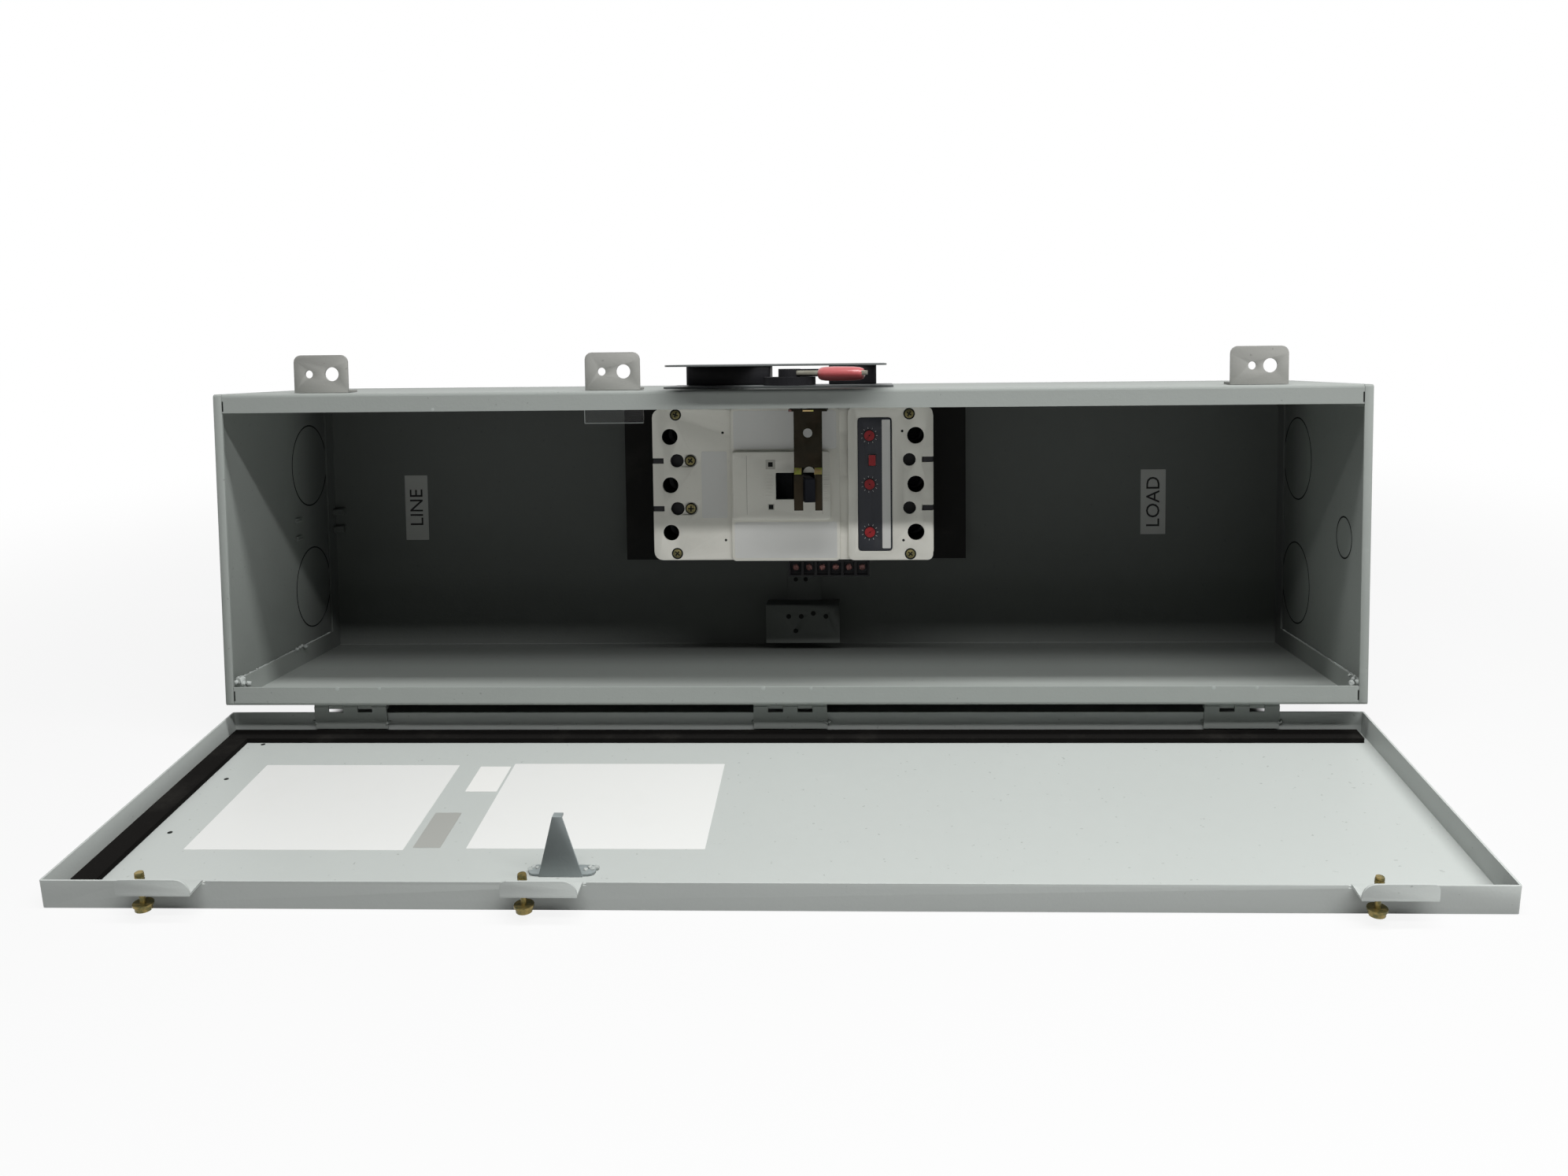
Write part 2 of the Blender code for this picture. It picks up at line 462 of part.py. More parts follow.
def interlock_bracket(door):
    """A tapered blade with a foot and a small turned tip, that meets the handle mechanism as the door shuts."""
    base = DOOR_INNER_Y + FIT
    half, tip_half = INTERLOCK_WIDTH / 2, INTERLOCK_TIP / 2
    top = DOOR_FACE_Y + INTERLOCK_HIGH
    outline = [
        (INTERLOCK_X - half, base),
        (INTERLOCK_X + half, base),
        (INTERLOCK_X + tip_half, top),
        (INTERLOCK_X - tip_half, top),
    ]
    blade = sheet("interlock_bracket", outline, "Z", (INTERLOCK_Z, INTERLOCK_Z + DOOR_SHEET), door, "door_paint")
    foot = block("interlock_foot", spread(INTERLOCK_X, INTERLOCK_X, half + 8), (base + 0.02, base + DOOR_SHEET),
                 (INTERLOCK_Z - 12, INTERLOCK_Z + 0.5), door, None, "Y", 5)
    tip = block("interlock_tip", spread(INTERLOCK_X, INTERLOCK_X, tip_half - 0.02), (top - DOOR_SHEET, top - 0.02),
                (INTERLOCK_Z - 5, INTERLOCK_Z + 0.5), door)
    return combine(blade, [foot, tip], "UNION")


def moulded_holes(names, x_hole, r_hole, x_key, r_key, frame, y):
    """Cutters for one end's wire-screw holes, the key holes between them and nothing else."""
    cuts = [rod(f"{names}_pole_{n}", (x_hole, y, z), "Y", r_hole, 12, frame, None, 20) for n, z in enumerate(POLE_Z)]
    cuts += [rod(f"{names}_key_{n}", (x_key, y, z), "Y", r_key, 12, frame, None, 16) for n, z in enumerate(BETWEEN_Z)]
    return cuts


def notches(name, edge, inward, y, frame):
    """Open slots in from one end of the moulding, between the poles."""
    reach = sorted((edge - inward * 5, edge + inward * NOTCH_LENGTH))
    return [
        block(f"{name}_notch_{n}", reach, y, spread(z, z, NOTCH_WIDTH / 2), frame) for n, z in enumerate(BETWEEN_Z)
    ]


def breaker_cover(cabinet):
    face, back = BREAKER_FACE_Y, BREAKER_FACE_Y + COVER_DEPTH
    cover = block("breaker_cover", BREAKER_X, (face, back), BREAKER_Z, cabinet, "moulding", "Y", CORNER, 4)
    wall = MOULDING
    hollow = block("cover_hollow", spread(*BREAKER_X, -wall), (face + wall, back + 5), spread(*BREAKER_Z, -wall),
                   cabinet, None, "Y", CORNER - wall, 4)
    cuts = [hollow]
    cuts += moulded_holes("cover_line", LINE_HOLE_X, LINE_HOLE_R, LINE_KEY_X, LINE_KEY_R, cabinet, face)
    cuts += moulded_holes("cover_load", LOAD_HOLE_X, LOAD_HOLE_R + 0.5, LOAD_KEY_X, LOAD_KEY_R + 0.5, cabinet, face)
    for index, z in enumerate(BETWEEN_Z):
        cuts.append(block(f"cover_key_slot_{index}", (LINE_KEY_X, LINE_SCREW_X + 6), (face - 5, face + RECESS),
                          spread(z, z, 5.9), cabinet, None, "Y", 5.5, 5))
    for index, (x, z) in enumerate(COVER_SCREWS):
        cuts.append(rod(f"cover_screw_{index}", (x, face, z), "Y", COVER_SCREW_R, 2 * RECESS, cabinet, None, 16))
    cuts += notches("cover_line", BREAKER_X[0], 1, (face - 5, back - 8), cabinet)
    cuts += notches("cover_load", BREAKER_X[1], -1, (face - 5, back - 8), cabinet)
    cuts.append(block("cover_window", spread(*TOGGLE_SLOT_X, 2), (face - 5, face + 8), spread(*TOGGLE_SLOT_Z, 2),
                      cabinet))
    cuts.append(rod("cover_button_hole", (BUTTON_X, face, BUTTON_Z), "Y", 3.0, 12, cabinet, None, 16))
    for index, z in enumerate(POLE_Z):
        cuts.append(rod(f"cover_dial_hole_{index}", (DIAL_X, face, z), "Y", DIAL_STEM_R + 0.5, 12, cabinet, None, 16))
    return combine(cover, cuts)


def breaker_base(cabinet):
    front, back = BREAKER_FACE_Y + COVER_DEPTH + FIT, BREAKER_BACK_Y
    base = block("breaker_base", BREAKER_X, (front, back), BREAKER_Z, cabinet, "black", "Y", CORNER, 4)
    wall = MOULDING
    hollow = block("base_hollow", spread(*BREAKER_X, -wall), (front - 5, back - 2 * wall), spread(*BREAKER_Z, -wall),
                   cabinet, None, "Y", CORNER - wall, 4)
    cuts = [hollow]
    for n, z in enumerate(POLE_Z):
        for m, edge in enumerate(BREAKER_X):
            cuts.append(block(f"base_wire_way_{n}_{m}", spread(edge, edge, wall + 1.5), (front + 18, back - 12),
                              spread(z, z, LUG_WIDTH / 2), cabinet))
    return combine(base, cuts)


def lugs(cabinet):
    """Wire lugs at both ends of the three poles, standing on the base's floor."""
    back = BREAKER_BACK_Y - 2 * MOULDING - FIT
    for side, edge, inward in (("line", BREAKER_X[0], 1), ("load", BREAKER_X[1], -1)):
        start = edge + inward * (MOULDING + FIT + 1)
        for n, z in enumerate(POLE_Z):
            name = f"{side}_lug_{n + 1}"
            lug = block(name, sorted((start, start + inward * LUG_LENGTH)), (back - LUG_DEPTH, back),
                        spread(z, z, LUG_WIDTH / 2), cabinet, "aluminium")
            bore = rod(name + "_bore", (start, back - LUG_DEPTH / 2 + 2, z), "X", LUG_BORE_R, 3 * LUG_LENGTH, cabinet, None, 16)
            combine(lug, [bore])


def centre_deck(cabinet):
    """The raised nameplate area of the cover with the toggle's escutcheon on it."""
    face = BREAKER_FACE_Y - FIT
    deck = block("cover_deck", DECK_X, (face - DECK, face), DECK_Z, cabinet, "moulding", "Y", 4, 4)
    combine(deck, [block("deck_window", spread(*TOGGLE_SLOT_X, 1), (face - 10, face + 5), spread(*TOGGLE_SLOT_Z, 1),
                         cabinet)])
    top = face - DECK - FIT
    plate = block("toggle_escutcheon", ESCUTCHEON_X, (top - ESCUTCHEON, top), ESCUTCHEON_Z, cabinet, "moulding", "Y",
                  3, 4)
    cuts = [block("escutcheon_window", TOGGLE_SLOT_X, (top - 10, top + 5), TOGGLE_SLOT_Z, cabinet)]
    for index, (x, z) in enumerate(SQUARE_HOLES):
        cuts.append(block(f"escutcheon_square_{index}", spread(x, x, SQUARE / 2), (top - 10, top - ESCUTCHEON + 3),
                          spread(z, z, SQUARE / 2), cabinet))
    combine(plate, cuts)


def trip_unit(cabinet):
    """The trip unit's cover with its sunk panel, three setting dials and the push-to-trip button."""
    face = BREAKER_FACE_Y - FIT
    cover = block("trip_unit_cover", TRIP_X, (face - DECK, face), TRIP_Z, cabinet, "moulding", "Y", 5, 4)
    front = face - DECK
    panel_back = front + PANEL_SUNK + PANEL
    cuts = moulded_holes("trip", LOAD_HOLE_X, LOAD_HOLE_R, LOAD_KEY_X, LOAD_KEY_R, cabinet, face - 1)
    cuts += notches("trip", TRIP_X[1], -1, (front - 5, face + 5), cabinet)
    for index, (x, z) in enumerate(TRIP_SCREWS):
        cuts.append(rod(f"trip_screw_{index}", (x, front, z), "Y", COVER_SCREW_R, 2 * RECESS, cabinet, None, 16))
    cuts.append(block("trip_recess", spread(*PANEL_X, FIT), (front - 5, panel_back + FIT), spread(*PANEL_Z, FIT),
                      cabinet, None, "Y", 3.3, 3))
    for index, z in enumerate(POLE_Z):
        cuts.append(rod(f"trip_dial_hole_{index}", (DIAL_X, face, z), "Y", DIAL_STEM_R + 0.5, 12, cabinet, None, 16))
    cuts.append(rod("trip_button_hole", (BUTTON_X, face, BUTTON_Z), "Y", 3.0, 12, cabinet, None, 16))
    combine(cover, cuts)

    panel_front = front + PANEL_SUNK
    panel = block("trip_panel", PANEL_X, (panel_front, panel_back), PANEL_Z, cabinet, "panel", "Y", 3, 3)
    holes = [rod(f"panel_dial_hole_{index}", (DIAL_X, panel_front, z), "Y", DIAL_STEM_R + 0.4, 8, cabinet, None, 16)
             for index, z in enumerate(POLE_Z)]
    holes.append(block("panel_button_hole", spread(BUTTON_X, BUTTON_X, BUTTON_WIDTH / 2 + 0.4),
                       (panel_front - 5, panel_back + 2),
                       spread(BUTTON_Z, BUTTON_Z, BUTTON_HEIGHT / 2 + 0.4), cabinet))
    combine(panel, holes)

    for index, z in enumerate(reversed(POLE_Z)):
        name = f"trip_dial_{index + 1}"
        axis = Frame(f"dial_axis_{index + 1}", (DIAL_X, panel_front, z), (0, DIAL_ANGLES[index], 0), cabinet)
        low = panel_front - FIT - DIAL_PROUD
        dial = rod(name, (DIAL_X, (low + panel_front - FIT) / 2, z), "Y", DIAL_R, DIAL_PROUD, axis, "red", 24)
        combine(dial, [rod(name + "_stem", (DIAL_X, low + 4.5, z), "Y", DIAL_STEM_R, 8, axis, None, 16)], "UNION")
        combine(dial, [block(name + "_slot", spread(DIAL_X, DIAL_X, 0.6), (low - 1, low + 0.7), spread(z, z, 6), axis)])

    low = panel_front - BUTTON_PROUD
    button = block("trip_button", spread(BUTTON_X, BUTTON_X, BUTTON_WIDTH / 2), (low, panel_back - BUTTON_TRAVEL),
                   spread(BUTTON_Z, BUTTON_Z, BUTTON_HEIGHT / 2), cabinet, "red", "Y", 0.8, 2)
    combine(button, [rod("trip_button_stem", (BUTTON_X, low + 6, BUTTON_Z), "Y", 2.4, 10, cabinet, None, 16)], "UNION")


def toggle_mechanism(cabinet):
    """The breaker's own toggle, rocking on trunnions between the cheeks of its mechanism."""
    frame = block("mechanism_frame", MECHANISM_X, MECHANISM_Y, MECHANISM_Z, cabinet, "steel")
    middle_z = (TOGGLE_Z[0] + TOGGLE_Z[1]) / 2
    channel_z = spread(*MECHANISM_Z, -5)
    combine(frame, [
        block("mechanism_channel", spread(*MECHANISM_X, 5), (MECHANISM_Y[0] - 5, PIVOT_Y + 12), channel_z, cabinet),
        rod("mechanism_bearings", (TOGGLE_X, PIVOT_Y, middle_z), "Z", TRUNNION_R + FIT, 70, cabinet, None, 16),
    ])
    axis = Frame("toggle_axis", (TOGGLE_X, PIVOT_Y, middle_z), (0, 0, TOGGLE_SWING / 2), cabinet)
    toggle = block("toggle", spread(TOGGLE_X, TOGGLE_X, TOGGLE_WIDTH / 2), (TOGGLE_TIP_Y, PIVOT_Y), TOGGLE_Z, axis,
                   "black", "X", 2, 3)
    hub_length = channel_z[1] - channel_z[0] - 2 * FIT
    combine(toggle, [
        rod("toggle_hub", (TOGGLE_X, PIVOT_Y, middle_z), "Z", HUB_R, hub_length, axis, None, 20),
        rod("toggle_trunnions", (TOGGLE_X, PIVOT_Y, middle_z), "Z", TRUNNION_R, hub_length + 9, axis, None, 16),
    ], "UNION")


def yoke(cabinet):
    """The fork that moves the toggle: a joggled plate with a band and a carrier that slides on the guide rod."""
    t = YOKE_SHEET
    profile = [
        (FINGER_Y, FINGER_LOW),
        (FINGER_Y + t, FINGER_LOW),
        (FINGER_Y + t, SHOULDER_LOW - 0.8),
        (YOKE_Y + t, SHOULDER_HIGH - 0.8),
        (YOKE_Y + t, BAND_Z[1] - 0.5),
        (YOKE_Y, BAND_Z[1] - 0.5),
        (YOKE_Y, SHOULDER_HIGH),
        (FINGER_Y, SHOULDER_LOW),
    ]
    fork = sheet("yoke", profile, "X", YOKE_X, cabinet, "zinc")
    carrier_x, carrier_y = CARRIER_X, CARRIER_Y
    combine(fork, [
        block("yoke_band", BAND_X, (YOKE_Y, BAND_BACK_Y), BAND_Z, cabinet),
        block("yoke_carrier", carrier_x, (carrier_y[0], carrier_y[1] - 0.02), (BAND_Z[1] - 0.5, CARRIER_TOP), cabinet),
    ], "UNION")
    fork_x = TOGGLE_X + STROKE / 2
    half = FORK_WIDTH / 2
    opening = [(fork_x - half, FINGER_LOW - 5), (fork_x + half, FINGER_LOW - 5)]
    opening += arc((fork_x, FORK_TOP), half, 0, 180, 10)
    pin_x = SHAFT_X + STROKE / 2
    low_y = SHAFT_Y - CRANK_R - CRANK_PIN_R - 0.6
    high_y = SHAFT_Y - CRANK_R * math.cos(math.radians(SWING / 2)) + CRANK_PIN_R + 0.6
    combine(fork, [
        sheet("yoke_opening", opening, "Y", (FINGER_Y - 5, YOKE_Y + 8), cabinet),
        rod("yoke_eye", (YOKE_EYE[0], YOKE_Y, YOKE_EYE[1]), "Y", YOKE_EYE_R, 10, cabinet, None, 20),
        block("yoke_crank_slot", spread(pin_x, pin_x, CRANK_PIN_R + 1.9), (low_y, high_y), spread(*BAND_Z, 5), cabinet),
        rod("yoke_bore", ((carrier_x[0] + carrier_x[1]) / 2, sum(carrier_y) / 2, ROD_Z), "X", ROD_R + FIT, 40,
            cabinet, None, 20),
    ])


def yoke_guide(cabinet):
    """A rod between two hangers under the wall."""
    middle_y = sum(CARRIER_Y) / 2
    ceiling = HEIGHT - SHEET - FIT
    guide = rod("yoke_guide", (sum(GUIDE_X) / 2, middle_y, ROD_Z), "X", ROD_R, GUIDE_X[1] - GUIDE_X[0] - 1, cabinet,
                "steel", 20)
    hangers = []
    for index, (edge, inward) in enumerate(((GUIDE_X[0], 1), (GUIDE_X[1], -1))):
        hangers.append(block(f"guide_hanger_{index}", sorted((edge, edge + inward * 2)), (middle_y - 6, middle_y + 6),
                             (ROD_Z - 5, ceiling - 0.5), cabinet))
        hangers.append(block(f"guide_foot_{index}", sorted((edge, edge - inward * 10)), (middle_y - 6, middle_y + 6),
                             (ceiling - 2, ceiling), cabinet))
        hangers.append(block(f"guide_corner_{index}", sorted((edge - inward, edge + inward * 1.5)),
                             (middle_y - 5.5, middle_y + 5.5), (ceiling - 1.9, ceiling - 0.1), cabinet))
    return combine(guide, hangers, "UNION")


def handle(cabinet):
    """The operating handle: the lever and hub outside the wall, the shaft through it and the crank inside."""
    axis = Frame("handle_axis", (SHAFT_X, SHAFT_Y, HEIGHT), (0, 0, HANDLE_REST), cabinet)
    centre = (SHAFT_X, SHAFT_Y)
    base_top = HEIGHT + FIT + HANDLE_BASE

    base = block("handle_base", HANDLE_BASE_X, HANDLE_BASE_Y, (HEIGHT + FIT, base_top), cabinet, "paint", "Z", 3)
    combine(base, [rod("base_shaft_hole", (*centre, HEIGHT), "Z", SHAFT_R + 3, 20, cabinet)])
    housing_z = (base_top + FIT, FACE_PLATE_Z - FIT)
    block("handle_housing_left", HOUSING_LEFT_X, HOUSING_Y, housing_z, cabinet, "black", "Z", 3)
    block("handle_housing_right", HOUSING_RIGHT_X, HOUSING_Y, housing_z, cabinet, "black", "Z", 3)
    plate_z = (FACE_PLATE_Z, FACE_PLATE_Z + HANDLE_PLATE)
    plate = block("handle_face_plate", FACE_PLATE_X, (FACE_PLATE_Y[0], FACE_PLATE_Y[0] + 4 * FACE_PLATE_CORNER),
                  plate_z, cabinet, "paint", "Z", FACE_PLATE_CORNER)
    combine(plate, [block("face_plate_back", FACE_PLATE_X, (FACE_PLATE_Y[0] + 1.5 * FACE_PLATE_CORNER,
                                                            FACE_PLATE_Y[1]), plate_z, cabinet, "paint", "Z", 4)],
            "UNION")
    combine(plate, [block("face_plate_window", FACE_WINDOW_X, FACE_WINDOW_Y, spread(*plate_z, 2), cabinet, None, "Z",
                          8)])

    hub_low = base_top + FIT
    hub = rod("handle_hub", (*centre, (hub_low + HUB_STEP_Z) / 2), "Z", HUB_STEP_R, HUB_STEP_Z - hub_low, axis,
              "black", 36)
    combine(hub, [rod("hub_top", (*centre, (HUB_STEP_Z + HUB_TOP_Z) / 2 - 0.5), "Z", HUB_TOP_R,
                      HUB_TOP_Z - HUB_STEP_Z + 1, axis, None, 24)], "UNION")
    shaft_top = LEVER_Z[0] - FIT
    combine(hub, [
        rod("hub_bore", (*centre, shaft_top - 10), "Z", SHAFT_R + FIT, 20, axis, None, 24),
        block("hub_channel", (SHAFT_X - HUB_TOP_R + 1.5 - FIT, SHAFT_X + 40),
              spread(SHAFT_Y, SHAFT_Y, LEVER_WIDTH / 2 + FIT), spread(*LEVER_Z, FIT), axis),
    ])
    lever_start = SHAFT_X - HUB_TOP_R + 1.5
    block("handle_lever", (lever_start, SHAFT_X + LEVER_LENGTH), spread(SHAFT_Y, SHAFT_Y, LEVER_WIDTH / 2), LEVER_Z,
          axis, "steel", "Z", 2.5)
    grip_x = (SHAFT_X + GRIP_SPAN[0], SHAFT_X + GRIP_SPAN[1])
    grip = block("handle_grip", grip_x, spread(SHAFT_Y, SHAFT_Y, GRIP_WIDTH / 2), spread(GRIP_Z, GRIP_Z, GRIP_R), axis,
                 "grip", "X", 5.5, 4)
    round_ends = grip.modifiers.new("round_ends", "BEVEL")
    round_ends.width = 3.0 * MM
    round_ends.segments = 3
    round_ends.limit_method = "ANGLE"
    round_ends.angle_limit = math.radians(60)
    combine(grip, [block("grip_bore", spread(*grip_x, 5), spread(SHAFT_Y, SHAFT_Y, LEVER_WIDTH / 2 + FIT),
                         spread(*LEVER_Z, FIT), axis)])

    crank_top = CRANK_Z + CRANK_SHEET
    shaft = rod("handle_shaft", (*centre, (CRANK_Z + shaft_top) / 2), "Z", SHAFT_R, shaft_top - CRANK_Z, axis, "steel")
    crank_outline = arc(centre, 7.5, 110, 250, 8) + arc((SHAFT_X + CRANK_R, SHAFT_Y), 4.5, -70, 70, 8)
    combine(shaft, [
        sheet("crank_arm", crank_outline, "Z", (CRANK_Z + 0.02, crank_top), axis),
        rod("crank_pin", (SHAFT_X + CRANK_R, SHAFT_Y, CRANK_Z - 2.5), "Z", CRANK_PIN_R, 7, axis, None, 16),
    ], "UNION")


def behind_breaker(cabinet):
    """Insulating plate and the two hat rails that stand the breaker off the back."""
    plate_front = BREAKER_BACK_Y + FIT
    plate_back = plate_front + BACKPLATE
    block("insulating_plate", BACKPLATE_X, (plate_front, plate_back), BACKPLATE_Z, cabinet, "black")
    for index, x in enumerate(RAIL_X):
        name = ("line_mounting_rail", "load_mounting_rail")[index]
        span_y = (plate_back + FIT, BACK_Y - FIT)
        rail = block(name, spread(x, x, RAIL_WIDTH / 2), span_y, RAIL_Z, cabinet, "steel")
        combine(rail, [block(name + "_channel", spread(x, x, RAIL_WIDTH / 2 - RAIL_SHEET),
                             (span_y[0] + RAIL_SHEET, span_y[1] + 5), spread(*RAIL_Z, 5), cabinet)])


def terminal_shield(cabinet):
    """A clear bent sheet that hangs in front of the LINE terminals."""
    ceiling = HEIGHT - SHEET - FIT
    shield = block("terminal_shield", SHIELD_X, (SHIELD_Y[0], SHIELD_Y[0] + SHIELD), (SHIELD_LOW, ceiling), cabinet,
                   "clear", "Y", 0.6, 2)
    flange = block("shield_flange", spread(*SHIELD_X, -0.5), (SHIELD_Y[0] + 0.1, SHIELD_Y[1]),
                   (ceiling - SHIELD, ceiling - 0.02), cabinet)
    return combine(shield, [flange], "UNION")


def terminal_strip(cabinet):
    """Six ways of auxiliary terminals against the breaker's side."""
    strip = block("terminal_strip", STRIP_X, STRIP_Y, STRIP_Z, cabinet, "black")
    middle = sum(STRIP_X) / 2
    cuts = []
    for way in range(STRIP_WAYS):
        x = middle + (way - (STRIP_WAYS - 1) / 2) * STRIP_PITCH
        cuts.append(block(f"strip_way_{way}", spread(x, x, 5.2), (STRIP_Y[0] - 5, STRIP_Y[0] + 5),
                          (STRIP_Z[0] + 1.5, STRIP_Z[0] + 14), cabinet))
    return combine(strip, cuts)


def ground_bracket(cabinet):
    """A stepped sheet on the back: a tab flat against it and a wider foot standing forward."""
    t = GROUND_SHEET
    back = BACK_Y - FIT
    tab = block("ground_bracket", GROUND_TAB_X, (back - t, back), GROUND_TAB_Z, cabinet, "paint", "Y", 1.5, 2)
    shelf_z = (GROUND_TAB_Z[0], GROUND_TAB_Z[0] + t)
    combine(tab, [
        block("ground_shelf", GROUND_FOOT_X, (GROUND_FOOT_Y + 0.02, back - 0.02), (shelf_z[0] + 0.02, shelf_z[1]),
              cabinet),
        block("ground_foot", GROUND_FOOT_X, (GROUND_FOOT_Y, GROUND_FOOT_Y + t),
              (GROUND_FOOT_Z[0], shelf_z[1] - 0.02), cabinet),
    ], "UNION")
    holes = [rod(f"ground_tab_hole_{n}", (x, back - 1, z), "Y", GROUND_HOLE_R, 8, cabinet, None, 12)
             for n, (x, z) in enumerate(GROUND_TAB_HOLES)]
    holes += [rod(f"ground_foot_hole_{n}", (x, GROUND_FOOT_Y + 1, z), "Y", GROUND_HOLE_R, 8, cabinet, None, 12)
              for n, (x, z) in enumerate(GROUND_FOOT_HOLES)]
    return combine(tab, holes)


def main():
    clear_scene()
    cabinet = Frame("cabinet", (0, 0, 0), (-math.degrees(LEAN), 0, 0))
    cabinet.empty.location = Vector(CABINET_AT) * MM
    door = Frame("door_hinge", (0, PIN_Y, PIN_Z), (90 + math.degrees(LEAN), 0, 0), cabinet)

    wrapper_shell(cabinet)
    end_plate("line_end_plate", 0, 1, [], cabinet)
    end_plate("load_end_plate", WIDTH, -1, [(PILOT_Y, PILOT_Z, PILOT_R)], cabinet)
    for index in range(len(TAB_X)):
        latch_tab(index, cabinet)
    hinges(cabinet, door)
    door_pan(door)
    gaskets(door)
    for index in range(len(SCREW_X)):
        captive_screw(index, door)
    interlock_bracket(door)
    behind_breaker(cabinet)
    breaker_base(cabinet)
    breaker_cover(cabinet)
    lugs(cabinet)
    centre_deck(cabinet)
    trip_unit(cabinet)
    toggle_mechanism(cabinet)
    yoke(cabinet)
    yoke_guide(cabinet)
    handle(cabinet)
    terminal_shield(cabinet)
    terminal_strip(cabinet)
    ground_bracket(cabinet)


main()
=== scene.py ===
"""Looks of an enclosed moulded-case circuit breaker, lying on its hinge side with the door open on the floor.

Pieces on the cabinet are drawn in the cabinet's own millimetres: X from the LINE end to the LOAD end, Y from the
front opening to the back, Z from the hinge-side wall up. Pieces on the door are drawn in the door's: X as on the
cabinet, S outward from the hinge-side flange, N up from the door's outer face.
"""

import json
import math

import bmesh
import bpy
from mathutils import Euler, Matrix, Vector, noise


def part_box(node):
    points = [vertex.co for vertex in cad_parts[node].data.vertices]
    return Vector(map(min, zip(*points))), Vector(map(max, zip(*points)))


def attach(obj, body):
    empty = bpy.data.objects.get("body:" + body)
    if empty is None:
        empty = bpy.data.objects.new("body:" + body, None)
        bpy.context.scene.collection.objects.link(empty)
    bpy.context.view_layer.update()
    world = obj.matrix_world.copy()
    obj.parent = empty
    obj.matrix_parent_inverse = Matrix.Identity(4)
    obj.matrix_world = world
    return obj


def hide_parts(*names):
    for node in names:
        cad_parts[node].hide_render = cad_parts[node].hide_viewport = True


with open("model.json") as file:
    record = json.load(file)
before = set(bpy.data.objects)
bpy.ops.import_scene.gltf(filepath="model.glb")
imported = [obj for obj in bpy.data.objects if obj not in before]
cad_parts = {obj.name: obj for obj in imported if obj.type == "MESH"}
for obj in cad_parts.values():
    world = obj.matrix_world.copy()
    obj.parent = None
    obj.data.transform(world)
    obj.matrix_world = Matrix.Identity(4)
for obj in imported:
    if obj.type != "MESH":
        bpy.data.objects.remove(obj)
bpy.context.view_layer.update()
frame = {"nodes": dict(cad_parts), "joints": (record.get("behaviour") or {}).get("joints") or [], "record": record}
MM = 0.001
joints = {joint["name"]: joint for joint in frame["joints"]}

# The cabinet's axes and origin, from its joints: the handle's shaft stands at X 478.5, Y 92 on the wall at Z 265.
AXIS_X = Vector((1.0, 0.0, 0.0))
AXIS_Y = Vector(joints["trip_button_push"]["axis"]).normalized()
AXIS_Z = Vector(joints["handle_turn"]["axis"]).normalized()
HANDLE_SHAFT = Vector((478.5, 92.0, 265.0))
TURN = Matrix((AXIS_X, AXIS_Y, AXIS_Z)).transposed()
ORIGIN = Vector(joints["handle_turn"]["pos_m"]) - TURN @ (HANDLE_SHAFT * MM)
CABINET = Matrix.Translation(ORIGIN) @ TURN.to_4x4() @ Matrix.Scale(MM, 4)
HINGE_LINE = Vector(joints["door_hinge"]["pos_m"])
DOOR_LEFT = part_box("door_pan")[0].x + 0.0045
DOOR = Matrix.Translation((DOOR_LEFT, HINGE_LINE.y - 0.0005, 0.0)) @ Matrix.Scale(MM, 4)
WIDTH, DEPTH, HEIGHT, SHEET = 960.0, 235.0, 265.0, 2.0


# ---------------------------------------------------------------- shader node groups

def group(name, inputs, outputs):
    """An empty shader group with named sockets, as (tree, its input node, its output node)."""
    tree = bpy.data.node_groups.new(name, "ShaderNodeTree")
    for label, kind, value in inputs:
        socket = tree.interface.new_socket(name=label, in_out="INPUT", socket_type=kind)
        socket.default_value = value
    for label, kind in outputs:
        tree.interface.new_socket(name=label, in_out="OUTPUT", socket_type=kind)
    return tree, tree.nodes.new("NodeGroupInput"), tree.nodes.new("NodeGroupOutput")


class Wiring:
    """Adds nodes to a tree: a value that is a socket is linked, and any other is set."""

    def __init__(self, tree):
        self.tree = tree

    def feed(self, socket, value):
        if isinstance(value, bpy.types.NodeSocket):
            self.tree.links.new(value, socket)
        else:
            socket.default_value = value

    def node(self, kind, settings=None, **inputs):
        made = self.tree.nodes.new(kind)
        for key, value in (settings or {}).items():
            setattr(made, key, value)
        for key, value in inputs.items():
            self.feed(made.inputs[key.replace("_", " ")], value)
        return made

    def place(self):
        return self.node("ShaderNodeTexCoord").outputs["Object"]

    def math(self, operation, first, second=0.0, clamp=False):
        made = self.node("ShaderNodeMath", {"operation": operation, "use_clamp": clamp})
        self.feed(made.inputs[0], first)
        self.feed(made.inputs[1], second)
        return made.outputs[0]

    def span(self, value, low, high, to_low=0.0, to_high=1.0):
        made = self.node("ShaderNodeMapRange", {"clamp": True, "interpolation_type": "SMOOTHSTEP"})
        for key, number in (("Value", value), ("From Min", low), ("From Max", high), ("To Min", to_low),
                            ("To Max", to_high)):
            self.feed(made.inputs[key], number)
        return made.outputs["Result"]

    def mix(self, factor, first, second, blend="MIX"):
        made = self.node("ShaderNodeMix", {"data_type": "RGBA", "blend_type": blend})
        self.feed(made.inputs[0], factor)
        self.feed(made.inputs[6], first)
        self.feed(made.inputs[7], second)
        return made.outputs[2]

    def noise(self, vector, scale, detail=2.0, rough=0.5):
        return self.node("ShaderNodeTexNoise", None, Vector=vector, Scale=scale, Detail=detail,
                         Roughness=rough).outputs["Fac"]


